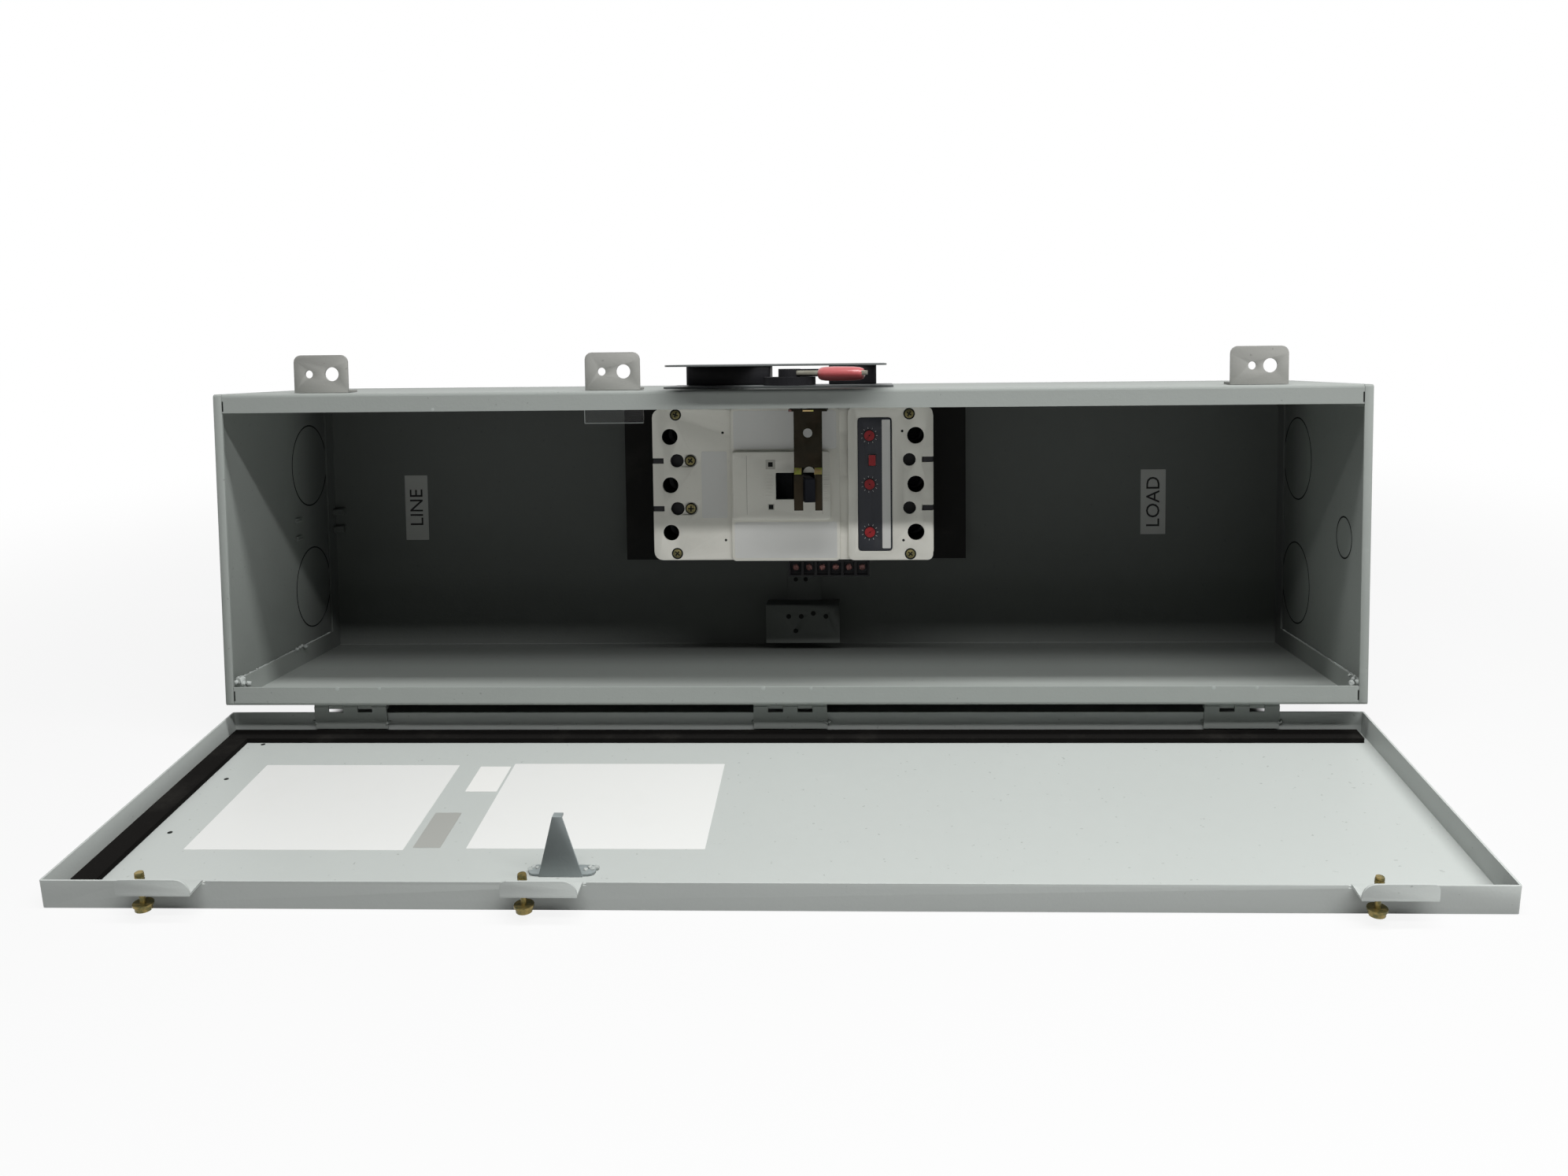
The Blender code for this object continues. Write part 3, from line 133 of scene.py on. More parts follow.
# The mask of the painted shade deep inside the cabinet.
def inside_depth(w, place):
    """0 at the cabinet's opening and outside its walls, rising to 1 towards its back."""
    inside = w.node("ShaderNodeMapping", {"vector_type": "TEXTURE"}, Vector=place)
    inside.inputs["Location"].default_value = ORIGIN
    inside.inputs["Rotation"].default_value = TURN.to_euler()
    x, y, z = w.node("ShaderNodeSeparateXYZ", None, Vector=inside.outputs[0]).outputs
    mask = w.span(y, 0.125, 0.215)
    skin = SHEET * MM / 2
    for value, low, high in ((x, skin, WIDTH * MM - skin), (y, -1.0, DEPTH * MM - skin),
                             (z, skin, HEIGHT * MM - skin)):
        mask = w.math("MULTIPLY", mask, w.math("GREATER_THAN", value, low))
        mask = w.math("MULTIPLY", mask, w.math("LESS_THAN", value, high))
    return mask


def powder_coat():
    """Orange-peel bump, slow drifts in tone, specks and rubbed places, and painted shade that darkens the colour deep
    inside the cabinet.
    """
    tree, given, out = group(
        "powder coat",
        [("Colour", "NodeSocketColor", (0.4, 0.43, 0.4, 1)), ("Drift", "NodeSocketFloat", 0.05),
         ("Peel Size", "NodeSocketFloat", 420.0), ("Peel Depth", "NodeSocketFloat", 0.25),
         ("Gloss", "NodeSocketFloat", 0.5), ("Scuffs", "NodeSocketFloat", 0.3),
         ("Thin Inside", "NodeSocketFloat", 0.0)],
        [("Colour", "NodeSocketColor"), ("Roughness", "NodeSocketFloat"), ("Normal", "NodeSocketVector")],
    )
    w = Wiring(tree)
    place = w.place()
    cloud = w.noise(place, 7.0, 3.0)
    fine = w.noise(place, 90.0, 4.0, 0.6)
    tone = w.math("ADD", w.math("MULTIPLY", w.math("SUBTRACT", cloud, 0.5), given.outputs["Drift"]),
                  w.math("MULTIPLY", w.math("SUBTRACT", fine, 0.5), w.math("MULTIPLY", given.outputs["Drift"], 0.6)))
    lit = w.node("ShaderNodeHueSaturation", None, Value=w.math("ADD", 1.0, tone), Color=given.outputs["Colour"])
    streak_place = w.node("ShaderNodeMapping", None, Vector=place)
    streak_place.inputs["Scale"].default_value = (14.0, 60.0, 60.0)
    rubbed = w.math("MULTIPLY", w.span(w.noise(streak_place.outputs[0], 1.0, 6.0, 0.7), 0.6, 0.78),
                    given.outputs["Scuffs"])
    speck = w.math("MULTIPLY", w.span(w.noise(place, 260.0, 1.0), 0.74, 0.8), 0.35)
    marked = w.mix(w.math("MULTIPLY", rubbed, 0.22), lit.outputs[0], (0.72, 0.73, 0.70, 1))
    flecked = w.mix(speck, marked, (0.12, 0.12, 0.11, 1))
    # Painted shade: deep inside the cabinet the colour is darkened towards near black, by the amount given for the
    # inside.
    inner_shade = w.math("MULTIPLY", inside_depth(w, place), given.outputs["Thin Inside"])
    colour = w.mix(inner_shade, flecked, (0.045, 0.048, 0.045, 1))
    peel = w.noise(place, given.outputs["Peel Size"], 2.0)
    bump = w.node("ShaderNodeBump", None, Strength=given.outputs["Peel Depth"], Distance=0.0004, Height=peel)
    rough = w.math("ADD", given.outputs["Gloss"], w.math("ADD", w.math("MULTIPLY", rubbed, 0.18),
                   w.math("MULTIPLY", w.math("SUBTRACT", fine, 0.5), 0.12)), clamp=True)
    w.feed(out.inputs["Colour"], colour)
    w.feed(out.inputs["Roughness"], rough)
    w.feed(out.inputs["Normal"], bump.outputs[0])
    return tree


def moulded_grain():
    """Spark-eroded grain of a moulded part, with faint flow marks and handling dust."""
    tree, given, out = group(
        "moulded grain",
        [("Colour", "NodeSocketColor", (0.6, 0.6, 0.56, 1)), ("Dust", "NodeSocketFloat", 0.1),
         ("Grain Size", "NodeSocketFloat", 900.0), ("Grain Depth", "NodeSocketFloat", 0.2),
         ("Gloss", "NodeSocketFloat", 0.5)],
        [("Colour", "NodeSocketColor"), ("Roughness", "NodeSocketFloat"), ("Normal", "NodeSocketVector")],
    )
    w = Wiring(tree)
    place = w.place()
    flow = w.noise(place, 24.0, 5.0, 0.6)
    dust = w.math("MULTIPLY", w.span(flow, 0.5, 0.75), given.outputs["Dust"])
    shade = w.mix(dust, given.outputs["Colour"], (0.42, 0.40, 0.35, 1))
    speck = w.math("MULTIPLY", w.span(w.noise(place, 700.0, 1.0), 0.72, 0.78), given.outputs["Dust"])
    colour = w.mix(speck, shade, (0.1, 0.095, 0.085, 1))
    grain = w.noise(place, given.outputs["Grain Size"], 3.0, 0.7)
    bump = w.node("ShaderNodeBump", None, Strength=given.outputs["Grain Depth"], Distance=0.0002, Height=grain)
    w.feed(out.inputs["Colour"], colour)
    w.feed(out.inputs["Roughness"], w.math("ADD", given.outputs["Gloss"], w.math("MULTIPLY", dust, 0.4), True))
    w.feed(out.inputs["Normal"], bump.outputs[0])
    return tree


def plated_metal():
    """Rolled or turned metal under thin plating: fine drawn lines, cloudy colour and dulled patches."""
    tree, given, out = group(
        "plated metal",
        [("Colour", "NodeSocketColor", (0.6, 0.6, 0.6, 1)), ("Second Colour", "NodeSocketColor", (0.5, 0.5, 0.5, 1)),
         ("Cloud Size", "NodeSocketFloat", 60.0), ("Line Depth", "NodeSocketFloat", 0.2),
         ("Gloss", "NodeSocketFloat", 0.35), ("Dull", "NodeSocketFloat", 0.2)],
        [("Colour", "NodeSocketColor"), ("Roughness", "NodeSocketFloat"), ("Normal", "NodeSocketVector")],
    )
    w = Wiring(tree)
    place = w.place()
    cloud = w.noise(place, given.outputs["Cloud Size"], 4.0, 0.6)
    colour = w.mix(w.span(cloud, 0.35, 0.65), given.outputs["Colour"], given.outputs["Second Colour"])
    drawn = w.node("ShaderNodeMapping", None, Vector=place)
    drawn.inputs["Scale"].default_value = (60.0, 60.0, 2600.0)
    lines = w.noise(drawn.outputs[0], 1.0, 3.0)
    bump = w.node("ShaderNodeBump", None, Strength=given.outputs["Line Depth"], Distance=0.0001, Height=lines)
    dull = w.math("MULTIPLY", w.span(w.noise(place, 35.0, 3.0), 0.5, 0.7), given.outputs["Dull"])
    w.feed(out.inputs["Colour"], colour)
    w.feed(out.inputs["Roughness"], w.math("ADD", given.outputs["Gloss"], dull, True))
    w.feed(out.inputs["Normal"], bump.outputs[0])
    return tree


POWDER_COAT, MOULDED_GRAIN, PLATED_METAL = powder_coat(), moulded_grain(), plated_metal()


def rgb(red, green, blue):
    return (red, green, blue, 1.0)


def material(name, tree, colour, metallic=0.0, specular=0.5, shader=(), **values):
    """A Principled material whose colour, roughness and normal come from one of the groups."""
    made = bpy.data.materials.new(name)
    made.use_nodes = True
    w = Wiring(made.node_tree)
    principled = made.node_tree.nodes["Principled BSDF"]
    look = w.node("ShaderNodeGroup", {"node_tree": tree}, Colour=rgb(*colour), **values)
    for ours, theirs in (("Colour", "Base Color"), ("Roughness", "Roughness"), ("Normal", "Normal")):
        w.feed(principled.inputs[theirs], look.outputs[ours])
    plain = {"Metallic": metallic, "Specular IOR Level": specular, **dict(shader)}
    for key, value in plain.items():
        principled.inputs[key].default_value = value
    made.diffuse_color = rgb(*colour)
    return made


# The cabinet paint carries painted shade: towards the back inside it is darkened 0.78 of the way to near black.
CABINET_PAINT = material("cabinet paint", POWDER_COAT, (0.315, 0.337, 0.32), specular=0.15, Gloss=0.5,
                         Thin_Inside=0.78)
DOOR_PAINT = material("door paint", POWDER_COAT, (0.435, 0.46, 0.443), specular=0.3, Gloss=0.46, Drift=0.04)
TAB_PAINT = material("tab paint", POWDER_COAT, (0.34, 0.34, 0.32), specular=0.25, Gloss=0.5, Scuffs=0.5)
BRACKET_PAINT = material("bracket paint", POWDER_COAT, (0.24, 0.27, 0.27), specular=0.3, Gloss=0.42)
DARK_PAINT = material("dark grey paint", POWDER_COAT, (0.115, 0.125, 0.125), specular=0.25, Gloss=0.45)
WELD_PAINT = material("painted weld", POWDER_COAT, (0.36, 0.385, 0.37), Gloss=0.62, Peel_Size=160.0, Peel_Depth=0.7)
GREY_MOULDING = material("grey moulding", MOULDED_GRAIN, (0.80, 0.785, 0.72), specular=0.3, Dust=0.12)
LINE_SHADE_AND_SURROUND_GREY = material("painted shade of moulded lines, and grey socket surrounds", MOULDED_GRAIN, (0.52, 0.51, 0.46), specular=0.2, Dust=0.2)
BLACK_MOULDING = material("black moulding", MOULDED_GRAIN, (0.010, 0.010, 0.012), specular=0.2, Dust=0.02, Gloss=0.5)
TOGGLE_MOULDING = material("toggle moulding", MOULDED_GRAIN, (0.005, 0.0055, 0.008), specular=0.08, Dust=0.01,
                           Gloss=0.6)
PANEL_FILM = material("panel film", MOULDED_GRAIN, (0.022, 0.024, 0.031), specular=0.25, Dust=0.03, Grain_Size=1500.0,
                      Gloss=0.4)
RED_MOULDING = material("red moulding", MOULDED_GRAIN, (0.29, 0.009, 0.013), specular=0.3, Dust=0.02, Gloss=0.4)
GRIP_VINYL = material("grip vinyl", MOULDED_GRAIN, (0.50, 0.085, 0.09),
                      shader={"Coat Weight": 0.5, "Coat Roughness": 0.16}, Dust=0.12, Grain_Size=300.0, Gloss=0.3)
FOAM = material("gasket foam", MOULDED_GRAIN, (0.009, 0.0085, 0.008), specular=0.02, Dust=0.02, Grain_Size=520.0,
                Grain_Depth=1.0, Gloss=0.95)
INSULATION = material("insulating sheet", MOULDED_GRAIN, (0.019, 0.0185, 0.018), specular=0.06, Dust=0.02,
                      Grain_Size=300.0, Gloss=0.7)
BRIGHT_ZINC = material("bright zinc", PLATED_METAL, (0.42, 0.42, 0.40), metallic=0.9,
                       Second_Colour=rgb(0.30, 0.30, 0.28))
BRASS_ZINC = material("yellow passivated zinc", PLATED_METAL, (0.29, 0.22, 0.08), metallic=0.75, specular=0.4,
                      Second_Colour=rgb(0.13, 0.12, 0.05), Gloss=0.36, Cloud_Size=260.0)
DARK_BRASS = material("tarnished screw", PLATED_METAL, (0.20, 0.17, 0.07), metallic=0.6, specular=0.3,
                      Second_Colour=rgb(0.09, 0.085, 0.04), Gloss=0.4, Cloud_Size=320.0)
OLIVE_ZINC = material("olive zinc", PLATED_METAL, (0.022, 0.016, 0.009), metallic=0.35, specular=0.12,
                      Second_Colour=rgb(0.013, 0.011, 0.006), Gloss=0.45, Cloud_Size=50.0, Dull=0.3)
# Painted highlight: a bright yellow-green zinc for the lit places on the yoke.
ZINC_HIGHLIGHT = material("painted highlight on olive zinc", PLATED_METAL, (0.66, 0.78, 0.12), metallic=0.35,
                      Second_Colour=rgb(0.86, 0.60, 0.28), Gloss=0.32, Cloud_Size=90.0, Dull=0.1)
COPPER_ZINC = material("copper screw", PLATED_METAL, (0.24, 0.11, 0.10), metallic=0.6, specular=0.3,
                       Second_Colour=rgb(0.13, 0.07, 0.065), Gloss=0.4, Cloud_Size=200.0)
DARK_STEEL = material("oiled steel", PLATED_METAL, (0.020, 0.021, 0.024), metallic=0.3, specular=0.15,
                      Second_Colour=rgb(0.011, 0.011, 0.012), Gloss=0.5)
# Painted shade: the lugs are aluminium, darkened nearly to black deep in the poles' holes.
LUG_METAL_IN_SHADE = material("lug aluminium darkened as painted shade", PLATED_METAL, (0.075, 0.077, 0.08), metallic=0.5, specular=0.2,
                     Second_Colour=rgb(0.05, 0.05, 0.052), Gloss=0.6)
LEVER_STEEL = material("lever steel", PLATED_METAL, (0.42, 0.42, 0.36), metallic=0.6, specular=0.3,
                       Second_Colour=rgb(0.34, 0.32, 0.26), Gloss=0.42)
CLEAR_SHEET = material("clear sheet", PLATED_METAL, (0.96, 0.97, 0.965), specular=0.2,
                       shader={"Transmission Weight": 1.0, "IOR": 1.2}, Second_Colour=rgb(0.93, 0.945, 0.94),
                       Gloss=0.04, Line_Depth=0.02, Dull=0.06)
# Painted highlight: a pale opaque colour for the clear sheet's lit cut edges.
CLEAR_EDGE_HIGHLIGHT = material("painted highlight on the clear sheet's cut edge", MOULDED_GRAIN, (0.50, 0.53, 0.52), Dust=0.05, Grain_Depth=0.1,
                      Gloss=0.25)
PAPER_FILM = material("bare sheet stock", MOULDED_GRAIN, (0.655, 0.66, 0.645), specular=0.25, Dust=0.03,
                      Grain_Depth=0.05, Gloss=0.5)
LABEL_FILM = material("bare label stock", MOULDED_GRAIN, (0.71, 0.71, 0.69), specular=0.3, Dust=0.03,
                      Grain_Depth=0.05, Gloss=0.4)
GREY_FILM = material("grey label stock", MOULDED_GRAIN, (0.33, 0.335, 0.315), specular=0.3, Dust=0.08,
                     Grain_Depth=0.05, Gloss=0.4)
END_FILM = material("end marker stock", MOULDED_GRAIN, (0.36, 0.365, 0.35), specular=0.3, Dust=0.05, Grain_Depth=0.05,
                    Gloss=0.4)
# Black for print, and painted shade on the floors of the dial slots.
BLACK_INK_AND_SLOT_SHADE = material("black print, and painted shade in dial slots", MOULDED_GRAIN, (0.01, 0.01, 0.01), specular=0.1, Dust=0.02, Grain_Depth=0.02)
WHITE_INK = material("white print", MOULDED_GRAIN, (0.42, 0.42, 0.42), Dust=0.03, Grain_Depth=0.02)
# Near black painted shade, put in grooves, gaps, sockets and holes.
GROOVE_SHADE = material("painted shade of grooves, gaps and holes", POWDER_COAT, (0.02, 0.021, 0.02), specular=0.05, Gloss=0.8)


def three(*names):
    """Each name with _1, _2 and _3 after it."""
    return [f"{name}_{index}" for name in names for index in (1, 2, 3)]


NODE_LOOKS = {
    CABINET_PAINT: ["wrapper_shell", "line_end_plate", "load_end_plate", "ground_bracket",
                    *three("hinge_box_leaf", "hinge_door_leaf")],
    DOOR_PAINT: ["door_pan"],
    TAB_PAINT: three("latch_tab"),
    BRACKET_PAINT: ["interlock_bracket"],
    DARK_PAINT: ["handle_face_plate", "handle_base"],
    BRIGHT_ZINC: [*three("hinge_pin"), "line_mounting_rail", "load_mounting_rail", "yoke_guide", "handle_shaft"],
    DARK_STEEL: ["mechanism_frame"],
    LEVER_STEEL: ["handle_lever"],
    BRASS_ZINC: three("captive_screw"),
    OLIVE_ZINC: ["yoke"],
    FOAM: ["gasket_hinge_side", "gasket_latch_side", "gasket_line_end"],
    GREY_MOULDING: ["breaker_cover", "cover_deck", "toggle_escutcheon", "trip_unit_cover"],
    BLACK_MOULDING: ["breaker_base", "handle_hub", "handle_housing_left", "handle_housing_right", "terminal_strip"],
    INSULATION: ["insulating_plate"],
    TOGGLE_MOULDING: ["toggle"],
    PANEL_FILM: ["trip_panel"],
    RED_MOULDING: [*three("trip_dial"), "trip_button"],
    GRIP_VINYL: ["handle_grip"],
    CLEAR_SHEET: ["terminal_shield"],
    LUG_METAL_IN_SHADE: three("line_lug", "load_lug"),
}


# ---------------------------------------------------------------- making pieces

def finish_mesh(bm, name, place, look, angle=35):
    """Turns a bmesh drawn in a frame's millimetres into a piece at the origin."""
    bm.transform(place)
    bmesh.ops.remove_doubles(bm, verts=bm.verts, dist=1e-7)
    bmesh.ops.recalc_face_normals(bm, faces=bm.faces)
    mesh = bpy.data.meshes.new(name)
    bm.to_mesh(mesh)
    bm.free()
    mesh.shade_smooth()
    mesh.set_sharp_from_angle(angle=math.radians(angle))
    mesh.materials.append(look)
    piece = bpy.data.objects.new(name, mesh)
    bpy.context.scene.collection.objects.link(piece)
    return piece


def settle(piece, body):
    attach(piece, body)
    return piece


def softened(node, look, width, body, angle=30, segments=2):
    """A CAD node with its edges eased: a merged copy, bevelled, that stands for the node."""
    source = frame["nodes"][node]
    mesh = source.data.copy()
    mesh.name = node + "_eased"
    bm = bmesh.new()
    bm.from_mesh(mesh)
    bmesh.ops.remove_doubles(bm, verts=bm.verts, dist=1e-6)
    bmesh.ops.dissolve_limit(bm, angle_limit=math.radians(0.5), verts=bm.verts, edges=bm.edges)
    bm.to_mesh(mesh)
    bm.free()
    mesh.materials.clear()
    mesh.materials.append(look)
    piece = bpy.data.objects.new(node + "_eased", mesh)
    bpy.context.scene.collection.objects.link(piece)
    ease = piece.modifiers.new("ease", "BEVEL")
    ease.width = width * MM
    ease.segments = segments
    ease.limit_method = "ANGLE"
    ease.angle_limit = math.radians(angle)
    ease.harden_normals = True
    ease.use_clamp_overlap = True
    mesh.shade_smooth()
    graph = bpy.context.evaluated_depsgraph_get()
    baked = bpy.data.meshes.new_from_object(piece.evaluated_get(graph))
    piece.modifiers.clear()
    piece.data = baked
    baked.name = node + "_eased"
    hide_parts(node)
    return settle(piece, body)


def slab(bm, x, y, z, round_axis=None, radius=0.0, edge=0.0, steps=3):
    """Adds a box between limits, with the edges along one axis rounded and then all edges eased."""
    limits = (x, y, z)
    made = bmesh.ops.create_cube(bm, size=1.0)["verts"]
    middle = Vector([(low + high) / 2 for low, high in limits])
    for vert in made:
        vert.co = middle + Vector([vert.co[n] * (limits[n][1] - limits[n][0]) for n in range(3)])
    faces = set(face for vert in made for face in vert.link_faces)
    if round_axis:
        along = "XYZ".index(round_axis)
        edges = {e for f in faces for e in f.edges if abs((e.verts[0].co - e.verts[1].co).normalized()[along]) > 0.9}
        out = bmesh.ops.bevel(bm, geom=list(edges), offset=radius, segments=steps, profile=0.5, affect="EDGES")
        faces = {f for f in faces if f.is_valid} | set(out["faces"])
    if edge:
        edges = {e for f in faces if f.is_valid for e in f.edges if e.calc_face_angle(0.0) > math.radians(40)}
        bmesh.ops.bevel(bm, geom=list(edges), offset=edge, segments=2, profile=0.5, affect="EDGES")


def block(name, place, body, look, x, y, z, slot=None, **shape):
    bm = bmesh.new()
    slab(bm, x, y, z, **shape)
    return settle(finish_mesh(bm, name, place, look), body)


def turned(bm, profile, centre, axis, sides=32, start=0.0, hoop=False):
    """Adds a closed turned shape: profile is (radius, height) along the axis, and a hoop's runs round to its start."""
    u, v, n = {"X": (1, 2, 0), "Y": (2, 0, 1), "Z": (0, 1, 2)}[axis]
    rings = []
    for radius, height in profile:
        ring = []
        for side in range(sides if radius > 1e-6 else 1):
            turn = start + 2 * math.pi * side / sides
            point = Vector(centre)
            point[u] += radius * math.cos(turn)
            point[v] += radius * math.sin(turn)
            point[n] += height
            ring.append(bm.verts.new(point))
        rings.append(ring)
    for low, high in zip(rings, rings[1:] + rings[:1] if hoop else rings[1:]):
        for side in range(sides):
            nxt = (side + 1) % sides
            corners = [low[side % len(low)], low[nxt % len(low)], high[nxt % len(high)], high[side % len(high)]]
            corners = list(dict.fromkeys(corners))
            if len(corners) > 2:
                bm.faces.new(corners)
    for ring in (rings[0], rings[-1]):
        if len(ring) > 1 and not hoop:
            bm.faces.new(ring)


def words(name, text, place, body, look, size, thickness):
    """A word cut from sheet ink, drawn in its own X and Y and laid by its place."""
    curve = bpy.data.curves.new(name, "FONT")
    curve.body = text
    curve.size = size
    curve.align_x, curve.align_y = "CENTER", "CENTER"
    curve.extrude = thickness / 2
    curve.resolution_u = 3
    guide = bpy.data.objects.new(name + "_guide", curve)
    bpy.context.scene.collection.objects.link(guide)
    graph = bpy.context.evaluated_depsgraph_get()
    mesh = bpy.data.meshes.new_from_object(guide.evaluated_get(graph))
    bpy.data.objects.remove(guide)
    bm = bmesh.new()
    bm.from_mesh(mesh)
    return settle(finish_mesh(bm, name, place, look), body)


# ---------------------------------------------------------------- geometry node trees

class Tree:
    """A geometry tree built node by node, with named inputs that are set by identifier."""

    def __init__(self, name, inputs):
        self.group = bpy.data.node_groups.new(name, "GeometryNodeTree")
        face = self.group.interface
        face.new_socket(name="Geometry", in_out="INPUT", socket_type="NodeSocketGeometry")
        for label, kind, value in inputs:
            socket = face.new_socket(name=label, in_out="INPUT", socket_type=kind)
            if value is not None:
                socket.default_value = value
        face.new_socket(name="Geometry", in_out="OUTPUT", socket_type="NodeSocketGeometry")
        self.wiring = Wiring(self.group)
        self.given = self.group.nodes.new("NodeGroupInput").outputs
        self.node = self.wiring.node

    def end(self, geometry):
        real = self.node("GeometryNodeRealizeInstances", None, Geometry=geometry)
        dressed = self.node("GeometryNodeSetMaterial", None, Geometry=real.outputs[0], Material=self.given["Material"])
        smooth = self.node("GeometryNodeSetShadeSmooth", None, Geometry=dressed.outputs[0])
        smooth.inputs["Shade Smooth"].default_value = True
        out = self.group.nodes.new("NodeGroupOutput")
        self.group.links.new(smooth.outputs[0], out.inputs[0])
        return self.group


def grown(name, tree, seeds, place, body, slot=None, sharp=35, **values):
    """Runs a tree on a set of seed points drawn in a frame's millimetres and keeps the result as one piece."""
    mesh = bpy.data.meshes.new(name)
    mesh.from_pydata([tuple(point) for point in seeds], [], [])
    piece = bpy.data.objects.new(name, mesh)
    bpy.context.scene.collection.objects.link(piece)
    modifier = piece.modifiers.new(tree.name, "NODES")
    modifier.node_group = tree
    for item in tree.interface.items_tree:
        if item.in_out == "INPUT" and item.name in values:
            modifier[item.identifier] = values[item.name]
    graph = bpy.context.evaluated_depsgraph_get()
    result = bpy.data.meshes.new_from_object(piece.evaluated_get(graph))
    piece.modifiers.clear()
    piece.data = result
    result.transform(place)
    result.name = name
    result.set_sharp_from_angle(angle=math.radians(sharp))
    return settle(piece, body)


def copies_tree():
    """Copies of one pattern piece on every seed point, each turned at random about the pattern's axis."""
    t = Tree("copies on points", [
        ("Pattern", "NodeSocketObject", None), ("Axis", "NodeSocketVector", (0, 1, 0)),
        ("Turn", "NodeSocketFloat", 0.0), ("Scale", "NodeSocketFloat", 1.0), ("Vary", "NodeSocketFloat", 0.0),
        ("Seed", "NodeSocketInt", 1), ("Material", "NodeSocketMaterial", None)])
    pattern = t.node("GeometryNodeObjectInfo", None, Object=t.given["Pattern"])
    turn = t.node("FunctionNodeRandomValue", {"data_type": "FLOAT"}, Seed=t.given["Seed"])
    t.wiring.feed(turn.inputs[2], t.wiring.math("MULTIPLY", t.given["Turn"], -1.0))
    t.wiring.feed(turn.inputs[3], t.given["Turn"])
    rotate = t.node("FunctionNodeAxisAngleToRotation", None, Axis=t.given["Axis"], Angle=turn.outputs[1])
    size = t.node("FunctionNodeRandomValue", {"data_type": "FLOAT"}, Seed=t.given["Seed"])
    t.wiring.feed(size.inputs[2], t.wiring.math("SUBTRACT", t.given["Scale"], t.given["Vary"]))
    t.wiring.feed(size.inputs[3], t.wiring.math("ADD", t.given["Scale"], t.given["Vary"]))
    laid = t.node("GeometryNodeInstanceOnPoints", None, Points=t.given["Geometry"],
                  Instance=pattern.outputs["Geometry"], Rotation=rotate.outputs[0], Scale=size.outputs[1])
    return t.end(laid.outputs[0])


def scale_ring_tree():
    """Printed tick marks round a dial: short bars on an arc about the cabinet's Y axis."""
    t = Tree("scale ring", [
        ("Ticks", "NodeSocketInt", 11), ("Radius", "NodeSocketFloat", 7.0), ("Length", "NodeSocketFloat", 1.6),
        ("Width", "NodeSocketFloat", 0.5), ("Sweep", "NodeSocketFloat", 5.0), ("Thickness", "NodeSocketFloat", 0.12),
        ("Material", "NodeSocketMaterial", None)])
    line = t.node("GeometryNodeCurveArc", {"mode": "RADIUS"}, Resolution=t.given["Ticks"], Radius=t.given["Radius"],
                  Sweep_Angle=t.given["Sweep"])
    size = t.node("ShaderNodeCombineXYZ", None, X=t.given["Length"], Y=t.given["Width"], Z=t.given["Thickness"])
    bar = t.node("GeometryNodeMeshCube", None, Size=size.outputs[0])
    where = t.node("GeometryNodeInputPosition")
    aim = t.node("FunctionNodeAlignRotationToVector", {"axis": "X"}, Vector=where.outputs[0])
    points = t.node("GeometryNodeCurveToPoints", {"mode": "EVALUATED"}, Curve=line.outputs[0])
    bars = t.node("GeometryNodeInstanceOnPoints", None, Points=points.outputs[0], Instance=bar.outputs[0],
                  Rotation=aim.outputs[0])
    solid = t.node("GeometryNodeRealizeInstances", None, Geometry=bars.outputs[0])
    stand = t.node("GeometryNodeTransform", None, Geometry=solid.outputs[0])
    stand.inputs["Rotation"].default_value = Euler((math.pi / 2, 0, 0))
    rings = t.node("GeometryNodeInstanceOnPoints", None, Points=t.given["Geometry"], Instance=stand.outputs[0])
    return t.end(rings.outputs[0])


def thread_tree():
    """A screw thread: a spiral swept with a small triangular section, standing along the seed point's Z."""
    t = Tree("screw thread", [
        ("Radius", "NodeSocketFloat", 2.7), ("Pitch", "NodeSocketFloat", 0.9), ("Turns", "NodeSocketFloat", 10.0),
        ("Depth", "NodeSocketFloat", 0.45), ("Material", "NodeSocketMaterial", None)])
    height = t.wiring.math("MULTIPLY", t.given["Pitch"], t.given["Turns"])
    spiral = t.node("GeometryNodeCurveSpiral", None, Resolution=24, Rotations=t.given["Turns"],
                    Start_Radius=t.given["Radius"], End_Radius=t.given["Radius"], Height=height)
    ridge = t.node("GeometryNodeCurvePrimitiveCircle", {"mode": "RADIUS"}, Resolution=3, Radius=t.given["Depth"])
    swept = t.node("GeometryNodeCurveToMesh", None, Curve=spiral.outputs[0], Profile_Curve=ridge.outputs[0])
    swept.inputs["Fill Caps"].default_value = True
    laid = t.node("GeometryNodeInstanceOnPoints", None, Points=t.given["Geometry"], Instance=swept.outputs[0])
    return t.end(laid.outputs[0])


COPIES, SCALE_RING, THREAD = copies_tree(), scale_ring_tree(), thread_tree()


def pattern_piece(name, build):
    """A pattern drawn at the origin in millimetres, for the copies tree. It is removed once it is used."""
    bm = bmesh.new()
    build(bm)
    bmesh.ops.remove_doubles(bm, verts=bm.verts, dist=1e-5)
    bmesh.ops.recalc_face_normals(bm, faces=bm.faces)
    mesh = bpy.data.meshes.new(name)
    bm.to_mesh(mesh)
    bm.free()
    piece = bpy.data.objects.new(name, mesh)
    bpy.context.scene.collection.objects.link(piece)
    return piece


def turned_pattern(name, profile, axis="Y", sides=28, hoop=False):
    return pattern_piece(name, lambda bm: turned(bm, profile, (0, 0, 0), axis, sides, hoop=hoop))


def slab_pattern(name, x, y, z, **shape):
    return pattern_piece(name, lambda bm: slab(bm, x, y, z, **shape))


